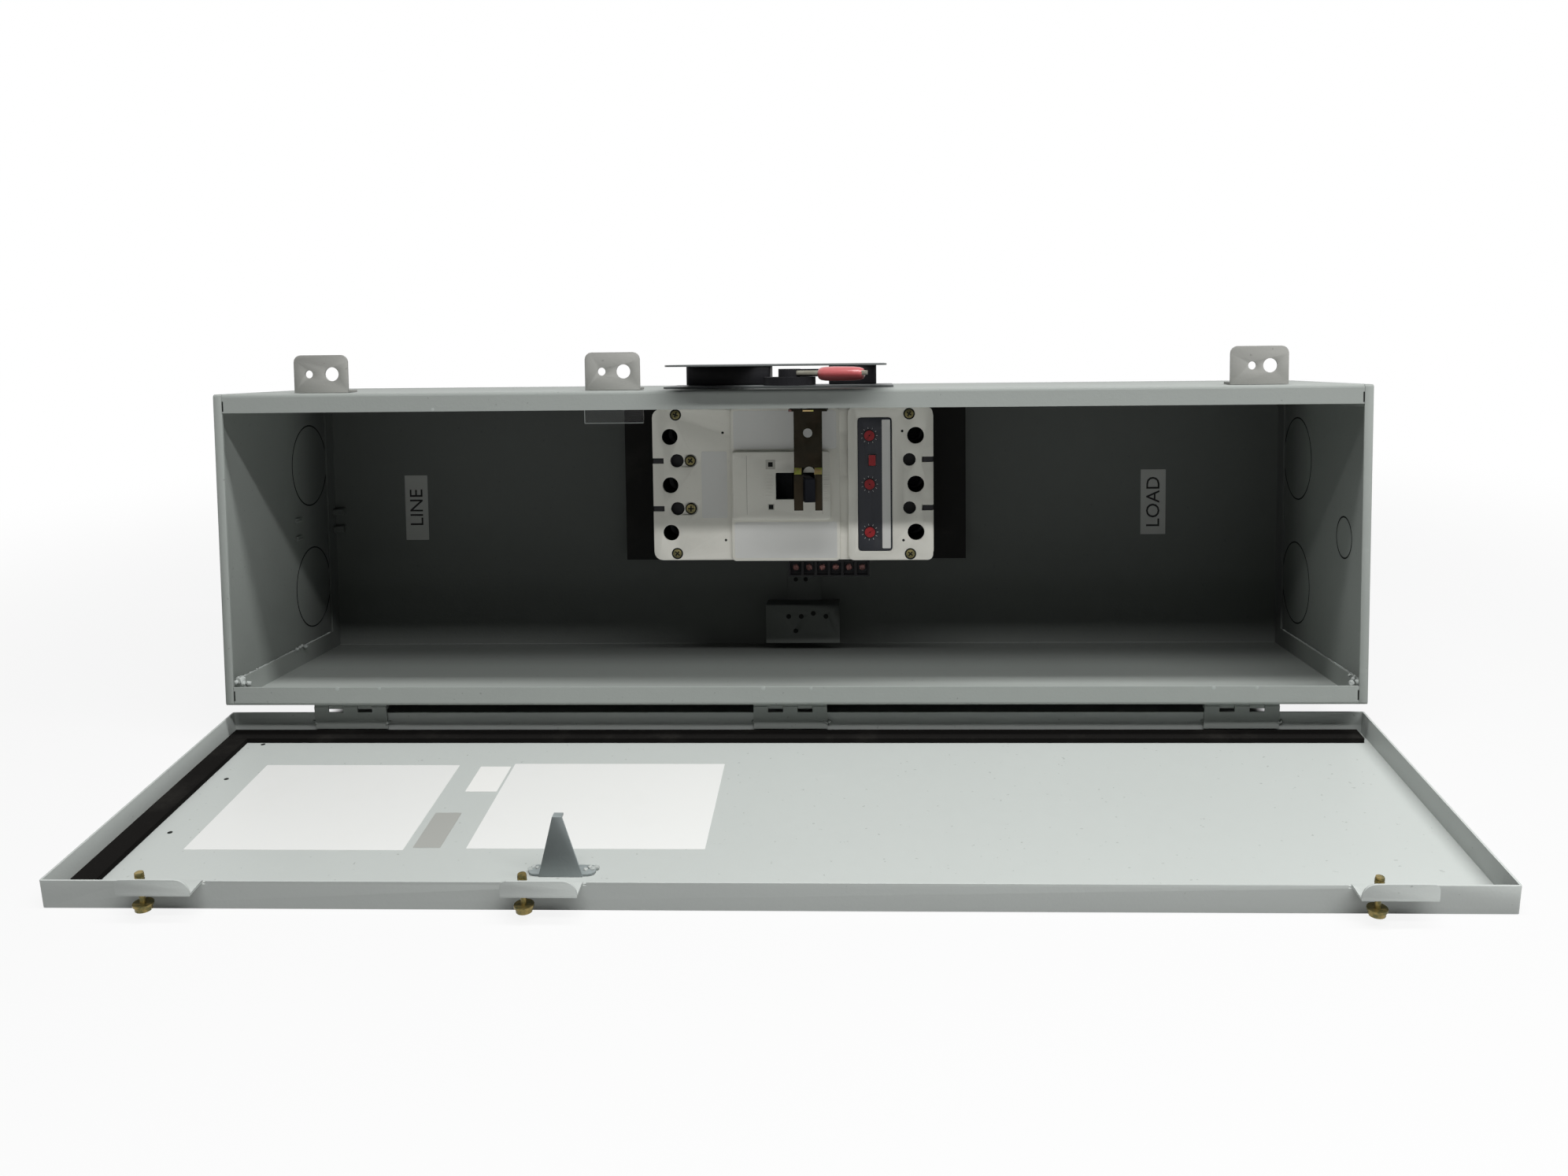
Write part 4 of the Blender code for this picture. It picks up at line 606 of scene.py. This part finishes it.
def carve(piece, tools):
    """Cuts pattern pieces from a pattern piece."""
    for tool in tools:
        cut = piece.modifiers.new("cut", "BOOLEAN")
        cut.operation, cut.solver, cut.object = "DIFFERENCE", "EXACT", tool
    graph = bpy.context.evaluated_depsgraph_get()
    mesh = bpy.data.meshes.new_from_object(piece.evaluated_get(graph))
    piece.modifiers.clear()
    piece.data = mesh
    for tool in tools:
        bpy.data.objects.remove(tool)
    return piece


def screw_head(radius, height, recess):
    """A pan head facing -Y with a slot, or with a cross recess."""
    dome = [(0, 0), (radius * 0.96, 0), (radius, -height * 0.25), (radius * 0.93, -height * 0.72),
            (radius * 0.62, -height), (0, -height * 1.06)]
    head = turned_pattern("head_pattern", dome, sides=24)
    arms = {"slot": [(1.2, 0.13, 0.55)], "cross": [(0.62, 0.16, 0.35), (0.16, 0.62, 0.35)]}[recess]
    tools = [slab_pattern("recess_tool", (-radius * wide, radius * wide), (-height * 2, -height * floor),
                          (-radius * tall, radius * tall)) for wide, tall, floor in arms]
    return carve(head, tools)


def studs(name, pattern, seeds, place, body, look, slot=None, axis=(0, 1, 0), turn=0.0, scale=1.0, vary=0.0, seed=1):
    piece = grown(name, COPIES, seeds, place, body, slot, Pattern=pattern, Axis=axis, Turn=turn, Scale=scale,
                  Vary=vary, Seed=seed, Material=look)
    bpy.data.objects.remove(pattern)
    return piece


# ---------------------------------------------------------------- the CAD nodes' finishes

def dress_nodes():
    for look, names in NODE_LOOKS.items():
        for name in names:
            node = frame["nodes"][name]
            node.data.materials.clear()
            node.data.materials.append(look)


BODY_OF = {node: body for body, nodes in frame["record"]["behaviour"]["bodies"].items() for node in nodes}
EASED = {
    "breaker_cover": 0.5, "cover_deck": 0.6, "toggle_escutcheon": 0.7, "trip_unit_cover": 0.7, "toggle": 0.5,
    "handle_face_plate": 0.3, "handle_housing_left": 0.6, "handle_housing_right": 0.6, "handle_lever": 0.4,
    "latch_tab_1": 0.35, "latch_tab_2": 0.35, "latch_tab_3": 0.35, "interlock_bracket": 0.25,
    "ground_bracket": 0.3, "yoke": 0.3, "trip_panel": 0.2, "door_pan": 0.4,
    "line_end_plate": 0.3, "load_end_plate": 0.3,
}


def ease_nodes():
    looks = {name: look for look, names in NODE_LOOKS.items() for name in names}
    for name, width in EASED.items():
        softened(name, looks[name], width, BODY_OF[name])


# ---------------------------------------------------------------- breaker details

POLES = (131.5, 175.5, 220.0)
BETWEEN = (153.8, 198.0)
BREAKER_FACE = 113.7
TRIP_FACE = 110.4
DECK_FACE = 110.4
ESCUTCHEON_FACE = 105.1
PANEL_FACE = 111.2
LUG_FACE = 178.4
DIAL_X = 549.6
DIAL_ANGLES = (38.0, -32.0, 52.0)
DIAL_SLOT_FLOOR = 110.2


def film(name, look, x, z, y_back, thickness=0.12, radius=1.0, slot="grey_moulding"):
    """A stuck label of film that faces the front opening; in the near black groove look it is a patch of painted
    shade.
    """
    return block(name, CABINET, "cabinet", look, x, (y_back - thickness, y_back - 0.01), z, slot, round_axis="Y",
                 radius=radius)


def disc_pattern(radius, axis="Y", thickness=0.05):
    """A dark disc of film: painted shade that reads as the bottom of a small hole."""
    lift = -thickness if axis == "Y" else thickness
    return turned_pattern("disc_pattern", [(0, 0), (radius, 0), (radius, lift), (0, lift)], axis, 18)


def breaker_labels():
    """The cover's labels, each bare and in one colour."""
    film("caution_label", LABEL_FILM, (395.4, 418.9), (145.0, 206.5), BREAKER_FACE, radius=1.5)
    film("nameplate_high", LABEL_FILM, (425.5, 519.5), (208.5, 243.5), DECK_FACE, radius=2.0)
    film("nameplate_low", LABEL_FILM, (425.5, 519.5), (108.0, 141.5), DECK_FACE, radius=2.0)
    film("trip_strip", LABEL_FILM, (561.0, 568.6), (116.5, 234.5), PANEL_FACE, 0.12, radius=0.8)


def breaker_screws():
    corners = [(371.9, BREAKER_FACE, 112.2), (372.2, BREAKER_FACE, 240.2),
               (585.9, TRIP_FACE, 239.7), (586.5, TRIP_FACE, 111.4)]
    heads = [(x, y + 0.8, z) for x, y, z in corners]
    inner = [(385.2, BREAKER_FACE, z) for z in BETWEEN]
    studs("cover_corner_screws", screw_head(4.2, 1.4, "cross"), heads, CABINET, "cabinet", DARK_BRASS,
          "zinc_yellow", turn=0.9, seed=3)
    studs("cover_inner_screws", screw_head(4.4, 1.8, "cross"), [(x, y + 0.9, z) for x, y, z in inner],
          CABINET, "cabinet", DARK_BRASS, "zinc_yellow", turn=0.7, seed=5)
    # Painted shade: dark discs round the screw heads and over the pin holes.
    studs("cover_screw_wells", disc_pattern(5.3), corners + inner, CABINET, "cabinet", GROOVE_SHADE, "black_moulding")
    studs("cover_pins", disc_pattern(1.2), [(415.3, BREAKER_FACE, 223.5), (417.0, BREAKER_FACE, 124.5),
                                            (579.5, TRIP_FACE, 224.0), (580.2, TRIP_FACE, 124.0)],
          CABINET, "cabinet", GROOVE_SHADE, "black_moulding")


def lug_screws():
    """Socket screws that clamp the wires, seen down the poles' round holes."""
    radius, height = 7.3, 6.0
    head = turned_pattern("lug_screw_pattern", [(0, 0), (radius, 0), (radius, -height + 0.8),
                                                (radius - 0.8, -height), (0, -height)])
    socket = turned_pattern("socket_tool", [(0, -2.0), (3.6, -2.0), (3.6, -height - 2), (0, -height - 2)], sides=6)
    spots = [(x, LUG_FACE - 0.02, z) for x in (367.4, 591.1) for z in POLES]
    studs("lug_screws", carve(head, [socket]), spots, CABINET, "cabinet", DARK_STEEL, "steel", turn=1.0, seed=12)
    # Painted shade: black tubes that line the poles' round holes.
    well = turned_pattern("well_pattern", [(9.3, 0), (9.3, 46), (8.4, 46), (8.4, 0)], hoop=True)
    studs("lug_wells", well, [(x, BREAKER_FACE + 3.4, z) for x in (366.5, 591.7) for z in POLES],
          CABINET, "cabinet", GROOVE_SHADE, "black_moulding")
    floor = turned_pattern("key_floor_pattern", [(0, 0), (7.2, 0), (7.2, 0.6), (0, 0.6)], sides=24)
    studs("key_hole_floors", floor, [(x, BREAKER_FACE + 9.0, z) for x in (372.8, 585.9) for z in BETWEEN],
          CABINET, "cabinet", BLACK_MOULDING, "black_moulding")


def notch_stops():
    """Black barriers that close the slots between the poles at both ends of the moulding."""
    for side, x, front in (("line", (351.0, 360.2), BREAKER_FACE), ("load", (598.2, 607.5), TRIP_FACE)):
        for index, z in enumerate(BETWEEN):
            block(f"{side}_barrier_{index + 1}", CABINET, "cabinet", BLACK_MOULDING, x, (front + 0.6, front + 14),
                  (z - 2.25, z + 2.25), "black_moulding", edge=0.2)


def trip_dials():
    """Printed scales, dark rims, and black painted shade on the floors of the three setting dials' slots."""
    for index, z in enumerate(reversed(POLES)):
        grown(f"dial_scale_{index + 1}", SCALE_RING, [(DIAL_X, PANEL_FACE - 0.06, z)], CABINET, "cabinet",
              Ticks=11, Radius=6.9, Length=1.5, Width=0.45, Sweep=math.radians(330), Thickness=0.1,
              Material=WHITE_INK)
        rim = bmesh.new()
        turned(rim, [(5.5, 0.0), (5.5, -0.35), (4.85, -0.35), (4.85, 0.0)], (DIAL_X, PANEL_FACE, z), "Y", 32,
               hoop=True)
        settle(finish_mesh(rim, f"dial_rim_{index + 1}", CABINET, BLACK_MOULDING), "cabinet")
        spin = CABINET @ Matrix.Translation((DIAL_X, 0, z)) @ Matrix.Rotation(math.radians(DIAL_ANGLES[index]), 4, "Y")
        # Painted shade: a black bar on the floor of each dial's slot.
        block(f"dial_slot_{index + 1}", spin, f"trip_dial_{index + 1}", BLACK_INK_AND_SLOT_SHADE, (-4.2, 4.2),
              (DIAL_SLOT_FLOOR - 0.06, DIAL_SLOT_FLOOR - 0.01), (-0.5, 0.5), "red_plastic", edge=0.01)


def escutcheon_relief():
    """Moulded lines drawn as grey stripes of painted shade, index ribs, and the surrounds of the two square sockets,
    whose holes are near black squares of painted shade.
    """
    face = ESCUTCHEON_FACE
    # Painted shade: the moulded lines are darker grey stripes, not cut into the moulding.
    film("escutcheon_rule", LINE_SHADE_AND_SURROUND_GREY, (437.5, 437.9), (149.0, 203.0), face, 0.15, 0.1)
    film("escutcheon_edge_rule", LINE_SHADE_AND_SURROUND_GREY, (506.4, 506.8), (149.0, 203.0), face, 0.15, 0.1)
    for index, (x, z) in enumerate(((459.5, 194.7), (459.7, 155.8))):
        half = 4.4 if index == 0 else 2.9
        film(f"socket_surround_{index + 1}", LINE_SHADE_AND_SURROUND_GREY, (x - half, x + half), (z - half, z + half), face, 0.1, 0.5)
        # Painted shade: a near black square for each socket's hole.
        film(f"socket_{index + 1}", GROOVE_SHADE, (x - 2.1, x + 2.1), (z - 2.1, z + 2.1), face - 0.1, 0.05, 0.3,
             "black_moulding")
    rib = slab_pattern("rib_pattern", (-2.9, 2.9), (-0.35, 0.1), (-0.45, 0.45), edge=0.12)
    studs("escutcheon_ribs", rib, [(510.2, face, 161.0 + 2.1 * step) for step in range(13)], CABINET, "cabinet",
          GREY_MOULDING, "grey_moulding")
    bar = slab_pattern("bar_pattern", (-3.0, 3.0), (-0.25, 0.1), (-0.3, 0.3), edge=0.08)
    studs("escutcheon_index", bar, [(458.3, face, 166.0 + 3.1 * step) for step in range(7)], CABINET, "cabinet",
          GREY_MOULDING, "grey_moulding")


def yoke_bends():
    """Painted highlights: bright yellow-green and copper zinc where the fork is bent forward, and on the end and edge
    of its band.
    """
    slope = CABINET @ Matrix.Translation((0, 67.0, 191.5)) @ Matrix.Rotation(math.radians(-45), 4, "X")
    for side, x in (("line", (483.3, 489.7)), ("load", (501.0, 507.7))):
        block(f"yoke_bend_{side}", slope, "yoke", ZINC_HIGHLIGHT, x, (-0.2, -0.03), (-3.7, 3.9), "zinc_yellow", edge=0.03)
    # Painted highlights on the band's end and edge.
    block("yoke_band_end", CABINET, "yoke", COPPER_ZINC, (478.7, 481.2), (69.75, 69.97), (244.1, 245.8),
          "zinc_yellow", edge=0.03)
    block("yoke_band_edge", CABINET, "yoke", ZINC_HIGHLIGHT, (491.2, 500.6), (69.75, 69.97), (244.1, 245.3),
          "zinc_yellow", edge=0.03)


def terminal_details():
    """Six binding screws on dark clamp plates along the auxiliary terminal strip."""
    middle, pitch, ways = 510.0, 12.8, 6
    xs = [middle + (way - (ways - 1) / 2) * pitch for way in range(ways)]
    studs("terminal_screws", screw_head(3.3, 2.2, "slot"), [(x, 174.9, 89.5) for x in xs], CABINET, "cabinet",
          COPPER_ZINC, "steel", turn=1.4, seed=21)
    clamp = slab_pattern("clamp_pattern", (-4.6, 4.6), (-0.9, 0.0), (-5.2, 5.2), round_axis="Y", radius=1.0, edge=0.2)
    studs("terminal_clamps", clamp, [(x, 174.98, 89.5) for x in xs], CABINET, "cabinet", DARK_STEEL, "steel")


def shield_edge():
    """The clear sheet's cut edges, drawn as pale opaque strips: painted highlight where they catch the light."""
    for name, x, z in (("low", (296.2, 348.8), (234.5, 235.1)), ("side", (296.05, 296.6), (235.0, 262.0))):
        block(f"shield_edge_{name}", CABINET, "cabinet", CLEAR_EDGE_HIGHLIGHT, x, (77.9, 78.3), z, "clear_sheet", edge=0.08)


# ---------------------------------------------------------------- cabinet details

def rear_labels():
    for name, text, x, z in (("line_label", "LINE", (76.7, 100.0), (110.0, 176.0)),
                             ("load_label", "LOAD", (820.6, 845.4), (112.0, 177.0))):
        film(name, END_FILM, x, z, 233.0, 0.15, radius=0.5, slot="paint")
        lay = CABINET @ Matrix.Translation((sum(x) / 2 + 0.5, 232.8, sum(z) / 2)) @ Matrix.Rotation(
            math.pi / 2, 4, "X") @ Matrix.Rotation(math.pi / 2, 4, "Z")
        words(name + "_word", text, lay, "cabinet", BLACK_INK_AND_SLOT_SHADE, 19.0, 0.1)


def knockout_outlines():
    """The knock-outs' score lines on the end plates' inner faces, drawn as dark rings of painted shade."""
    for side, face, inward, circles in (
        ("line", SHEET, 1, [(180.0, 71.5, 39.0), (180.0, 191.0, 39.0)]),
        ("load", WIDTH - SHEET, -1, [(180.0, 71.5, 39.0), (180.0, 191.0, 39.0), (55.0, 132.0, 18.0)]),
    ):
        for index, (y, z, radius) in enumerate(circles):
            groove = bmesh.new()
            turned(groove, [(radius - 0.8, -0.2 * inward), (radius - 0.8, 0.08 * inward),
                            (radius + 0.6, 0.08 * inward), (radius + 0.6, -0.2 * inward)],
                   (face, y, z), "X", 56, hoop=True)
            settle(finish_mesh(groove, f"{side}_knockout_score_{index + 1}", CABINET, GROOVE_SHADE), "cabinet")


def blob_pattern():
    """A lumpy drop of weld or caulk under paint."""
    def build(bm):
        for vert in bmesh.ops.create_icosphere(bm, subdivisions=2, radius=1.0)["verts"]:
            vert.co *= 1.0 + 0.35 * noise.noise(vert.co * 1.9)
    return pattern_piece("blob_pattern", build)


def blobs(name, points, place, body, scale, vary, seed, slot="paint", look=WELD_PAINT):
    return studs(name, blob_pattern(), points, place, body, look, slot, axis=(0.3, 0.5, 0.8), turn=3.1,
                 scale=scale, vary=vary, seed=seed)


def cabinet_welds():
    """Weld drops in the corners, a broken bead along the end plates' lower seams, and bumps under the lips."""
    blobs("line_corner_weld", [(8, 4, 19.5), (11, 6, 20.5), (14, 4, 18.5), (7, 10, 20.5), (9, 14, 19.5),
                               (16, 9, 17), (6, 18, 19.8)], CABINET, "cabinet", 2.2, 1.1, 5)
    blobs("line_rear_weld", [(4.4, 131, 19.6), (5.0, 137, 20.2), (4.6, 142, 20.6), (6.5, 146, 19.0)], CABINET,
          "cabinet", 1.7, 0.7, 6)
    blobs("load_corner_weld", [(953, 4, 18.5), (951, 9, 19.5), (954, 14, 20.5), (952, 20, 20.0), (948, 5, 17.0)],
          CABINET, "cabinet", 2.0, 0.9, 7)
    for side, x in (("line", 3.4), ("load", 956.6)):
        seam = [(x, 24 + 2.1 * step, 19.4) for step in range(90)]
        blobs(f"{side}_seam_bead", seam, CABINET, "cabinet", 0.6, 0.3, 9)
    bump = turned_pattern("bump_pattern", [(0, 0.3), (1.7, 0.3), (1.6, -0.06), (1.1, -0.14), (0, -0.18)], sides=14)
    studs("lip_spot_welds", bump, [(x, 0.0, 14.6) for x in (96.4, 132.7, 459, 499, 833.6, 869.2)]
          + [(185.7, 0.0, 250.9)], CABINET, "cabinet", WELD_PAINT, "paint", vary=0.2, seed=4)


def end_lances():
    """Small pressed lances on the LINE end plate, clips in the corner behind them, and dark slits of painted shade at
    the lips' open corners.
    """
    for index, z in enumerate((141.0, 123.5)):
        block(f"line_lance_{index + 1}", CABINET, "cabinet", CABINET_PAINT, (1.8, 4.4), (143.5, 155.0),
              (z - 2.2, z + 2.2), "paint", round_axis="Y", radius=1.0, edge=0.4)
        block(f"line_clip_{index + 1}", CABINET, "cabinet", CABINET_PAINT, (3.0, 15.0), (226.0, 232.9),
              (z - 4.5, z + 2.0), "paint", round_axis="X", radius=1.5, edge=0.4)
    # Painted shade: dark slits in the open corners where the lips meet the end plates.
    for index, (x, z) in enumerate(((7.3, 250.6), (7.3, 4.0), (951.6, 250.6), (951.6, 4.0))):
        film(f"lip_corner_gap_{index + 1}", GROOVE_SHADE, (x, x + 1.1), (z, z + 8.5), 0.0, 0.06, 0.3, "paint")


def ground_bracket_holes():
    # Painted shade: dark discs over the ground bracket's holes.
    studs("ground_foot_holes", disc_pattern(2.4), [(x, 202.95, z) for x, z in (
        (468.5, 35.5), (481.0, 35.5), (493.0, 38.5), (505.5, 35.5), (475.5, 21.0))], CABINET, "cabinet",
          GROOVE_SHADE, "paint")
    studs("ground_tab_holes", disc_pattern(2.2), [(x, 230.65, 68.0) for x in (474.5, 484.5)], CABINET, "cabinet",
          GROOVE_SHADE, "paint")


# ---------------------------------------------------------------- door and handle details

HINGE_X = (100.3, 480.4, 862.0)
DOOR_INNER = 1.5


def door_details():
    """Bare instruction sheets and plates, small holes drawn as dark discs of painted shade, and the welds of the
    door's inner face.
    """
    for name, look, x, s in (
        ("door_sheet_1", PAPER_FILM, (53.0, 213.0), (64.5, 200.5)),
        ("door_sheet_2", PAPER_FILM, (258.0, 430.0), (62.0, 198.0)),
        ("door_plate", GREY_FILM, (219.0, 239.0), (145.0, 197.0)),
    ):
        block(name, DOOR, "door", look, x, (-s[1], -s[0]), (DOOR_INNER + 0.01, DOOR_INNER + 0.13), "door_paint",
              round_axis="Z", radius=0.8)
    block("door_notice", DOOR, "door", LABEL_FILM, (231.0, 256.0), (-110.6, -67.0),
          (DOOR_INNER + 0.01, DOOR_INNER + 0.14), "door_paint", round_axis="Z", radius=0.8)
    # Painted shade: the small holes are dark discs on the door's inner face.
    studs("door_holes", disc_pattern(1.9, "Z"), [(x, -s, DOOR_INNER + 0.01) for x, s in (
        (31.5, 25.0), (30.9, 89.4), (30.3, 175.7))], DOOR, "door", GROOVE_SHADE, "door_paint")
    blobs("interlock_weld", [(314.0, -225.5, 3.0), (317.0, -227.0, 3.2), (312.5, -228.5, 2.9), (353.5, -226.0, 3.0),
                             (356.0, -228.0, 3.2), (358.0, -225.5, 2.9), (351.0, -229.0, 3.0)], DOOR, "door", 1.7, 0.4,
          11, "door_paint")
    corners = [(x + side * 31.0 + reach, -2.4, 11.0 + lift) for x in HINGE_X for side in (-1, 1)
               for reach, lift in ((0.0, 0.0), (2.2, 1.2), (-1.8, 1.6))]
    blobs("hinge_leaf_welds", corners, DOOR, "door", 1.3, 0.4, 13, "door_paint", CABINET_PAINT)


def captive_threads():
    """The threaded ends of the three captive screws, standing above the ears."""
    for index in range(3):
        body = f"captive_screw_{index + 1}"
        low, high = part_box(body)
        place = Matrix.Translation(((low.x + high.x) / 2, (low.y + high.y) / 2, low.z)) @ Matrix.Scale(MM, 4)
        grown(f"captive_thread_{index + 1}", THREAD, [(0, 0, 14.9)], place, body, "zinc_yellow", Radius=2.7,
              Pitch=1.05, Turns=10.5, Depth=0.42, Material=BRASS_ZINC)


HANDLE_REST = -20.0
HANDLE = CABINET @ Matrix.Translation((*HANDLE_SHAFT.xy, 0.0)) @ Matrix.Rotation(math.radians(HANDLE_REST), 4, "Z")
GRIP_START, GRIP_HALF_HEIGHT, GRIP_HALF_WIDTH, GRIP_Z = 29.0, 6.4, 8.0, 276.9


def handle_details():
    """The dipped grip, and a black arm that stiffens the lever at its hub."""
    bm = bmesh.new()
    profile = [(0, 0), (3.6, 0), (4.9, 0.7), (5.7, 2.4), (6.2, 6.0), (6.4, 14.0), (6.3, 24.0), (6.1, 33.0),
               (5.6, 38.0), (4.7, 40.8), (3.2, 42.0), (0, 42.0)]
    turned(bm, profile, (GRIP_START, 0, 0), "X", 36)
    for vert in bm.verts:
        vert.co.y *= GRIP_HALF_WIDTH / GRIP_HALF_HEIGHT
        vert.co.z += GRIP_Z
    grip = finish_mesh(bm, "grip_dipped", HANDLE, GRIP_VINYL, 60)
    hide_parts("handle_grip")
    settle(grip, "handle")
    block("handle_arm", HANDLE, "handle", BLACK_MOULDING, (7.5, 29.5), (4.9, 11.0), (274.5, 281.3), "black_moulding",
          round_axis="Z", radius=2.5, edge=0.5)


# ---------------------------------------------------------------- stage

SHADE_X = (69.0, 893.0)  # the floor's shaded strip under the cabinet, in the cabinet's millimetres
SHADE_SIDE = (0.012, 0.004)  # how far its ends fade out and in, in metres
SHADE_FRONT, SHADE_BACK = (-0.03, -0.01), (0.26, 0.20)  # where it fades, in metres behind the hinge line
FLOOR_X, FLOOR_Y, FLOOR_LEVEL = (-6, 6), (-4, 8), -0.0006
GLARE_FADE, GLARE_NEAR = (0.7, 1.5), 0.88  # the floor by the cabinet is a little short of white
SKY, SKY_STRENGTH = (0.95, 0.98, 1.0, 1), 0.02
WHITE = (1, 1, 1, 1)
LAMP_DISTANCE, LAMP_LENGTH, LAMP_AIM = 1.9, 2.6, (0.65, 0.02, 0.28)
LAMPS = (("front lamp", 54.0, 0.26, 78), ("overhead lamp", 81.0, 0.22, 50))  # name, elevation, width, watts
LENS, SENSOR, LENS_SHIFT = 30.04, 36.0, (-0.025, -0.0855)
VIEW_FROM, VIEW_TURN = (0.06761, -1.02462, 0.47598), (77.5766, 0.8267, 1.7902)


def show_white(tree, unlit, glow, glare=1.0):
    """Shows a white glow behind the object and its reflections, and leaves the unlit shader to light it."""
    w = Wiring(tree)
    rays = w.node("ShaderNodeLightPath").outputs
    seen = w.math("MAXIMUM", rays["Is Camera Ray"],
                  w.math("MAXIMUM", rays["Is Glossy Ray"], rays["Is Transmission Ray"]))
    blend = w.node("ShaderNodeMixShader", None, Fac=w.math("MULTIPLY", seen, glare))
    tree.links.new(unlit.outputs[0], blend.inputs[1])
    tree.links.new(glow.outputs[0], blend.inputs[2])
    return blend


def lay_floor(scene):
    (left, right), (front, back) = FLOOR_X, FLOOR_Y
    floor = bpy.data.meshes.new("floor")
    floor.from_pydata([(left, front, FLOOR_LEVEL), (right, front, FLOOR_LEVEL), (right, back, FLOOR_LEVEL),
                       (left, back, FLOOR_LEVEL)], [], [(0, 1, 2, 3)])
    ground = bpy.data.objects.new("floor", floor)
    scene.collection.objects.link(ground)
    white = bpy.data.materials.new("studio floor")
    white.use_nodes = True
    tree = white.node_tree
    w = Wiring(tree)
    tree.nodes.remove(tree.nodes["Principled BSDF"])
    place = w.place()
    x, y = w.node("ShaderNodeSeparateXYZ", None, Vector=place).outputs[:2]
    low, high = (ORIGIN.x + edge * MM for edge in SHADE_X)
    out, into = SHADE_SIDE
    under = w.math("MULTIPLY", w.span(x, low - out, low + into), w.span(x, high + out, high - into))
    for fade in (SHADE_FRONT, SHADE_BACK):
        under = w.math("MULTIPLY", under, w.span(y, *(HINGE_LINE.y + edge for edge in fade)))
    away = w.node("ShaderNodeVectorMath", {"operation": "LENGTH"})
    w.feed(away.inputs[0], place)
    glare = w.span(away.outputs["Value"], *GLARE_FADE, GLARE_NEAR, 1.0)
    glare = w.math("MULTIPLY", glare, w.math("SUBTRACT", 1.0, under))
    matt = w.node("ShaderNodeBsdfDiffuse", None, Color=(0.5, 0.5, 0.5, 1))
    glow = w.node("ShaderNodeEmission", None, Color=WHITE, Strength=1.0)
    tree.links.new(show_white(tree, matt, glow, glare).outputs[0], tree.nodes["Material Output"].inputs[0])
    floor.materials.append(white)


def light_studio(scene):
    world = bpy.data.worlds.new("studio")
    scene.world = world
    world.use_nodes = True
    w = Wiring(world.node_tree)
    dim = w.node("ShaderNodeBackground", None, Color=SKY, Strength=SKY_STRENGTH)
    bright = w.node("ShaderNodeBackground", None, Color=WHITE, Strength=1.0)
    blend = show_white(world.node_tree, dim, bright)
    world.node_tree.links.new(blend.outputs[0], world.node_tree.nodes["World Output"].inputs[0])
    for name, elevation, width, watts in LAMPS:
        light = bpy.data.lights.new(name, "AREA")
        light.shape, light.size, light.size_y, light.energy = "RECTANGLE", LAMP_LENGTH, width, watts
        turn = math.radians(elevation)
        lamp = bpy.data.objects.new(name, light)
        lamp.location = Vector(LAMP_AIM) + LAMP_DISTANCE * Vector((0.0, -math.cos(turn), math.sin(turn)))
        lamp.rotation_euler = (turn - math.pi / 2, 0.0, 0.0)
        scene.collection.objects.link(lamp)


def stage_and_light():
    scene = bpy.context.scene
    scene.view_settings.view_transform = "Standard"
    lay_floor(scene)
    light_studio(scene)
    camera = bpy.data.cameras.new("camera")
    camera.sensor_width, camera.lens = SENSOR, LENS
    camera.shift_x, camera.shift_y = LENS_SHIFT
    viewer = bpy.data.objects.new("camera", camera)
    viewer.location = VIEW_FROM
    viewer.rotation_euler = [math.radians(angle) for angle in VIEW_TURN]
    scene.collection.objects.link(viewer)
    scene.camera = viewer


for make in (
    dress_nodes, ease_nodes, breaker_labels, breaker_screws, lug_screws, notch_stops, trip_dials,
    escutcheon_relief, yoke_bends, terminal_details, shield_edge, rear_labels, knockout_outlines, cabinet_welds,
    end_lances, ground_bracket_holes, door_details, captive_threads, handle_details, stage_and_light,
):
    make()
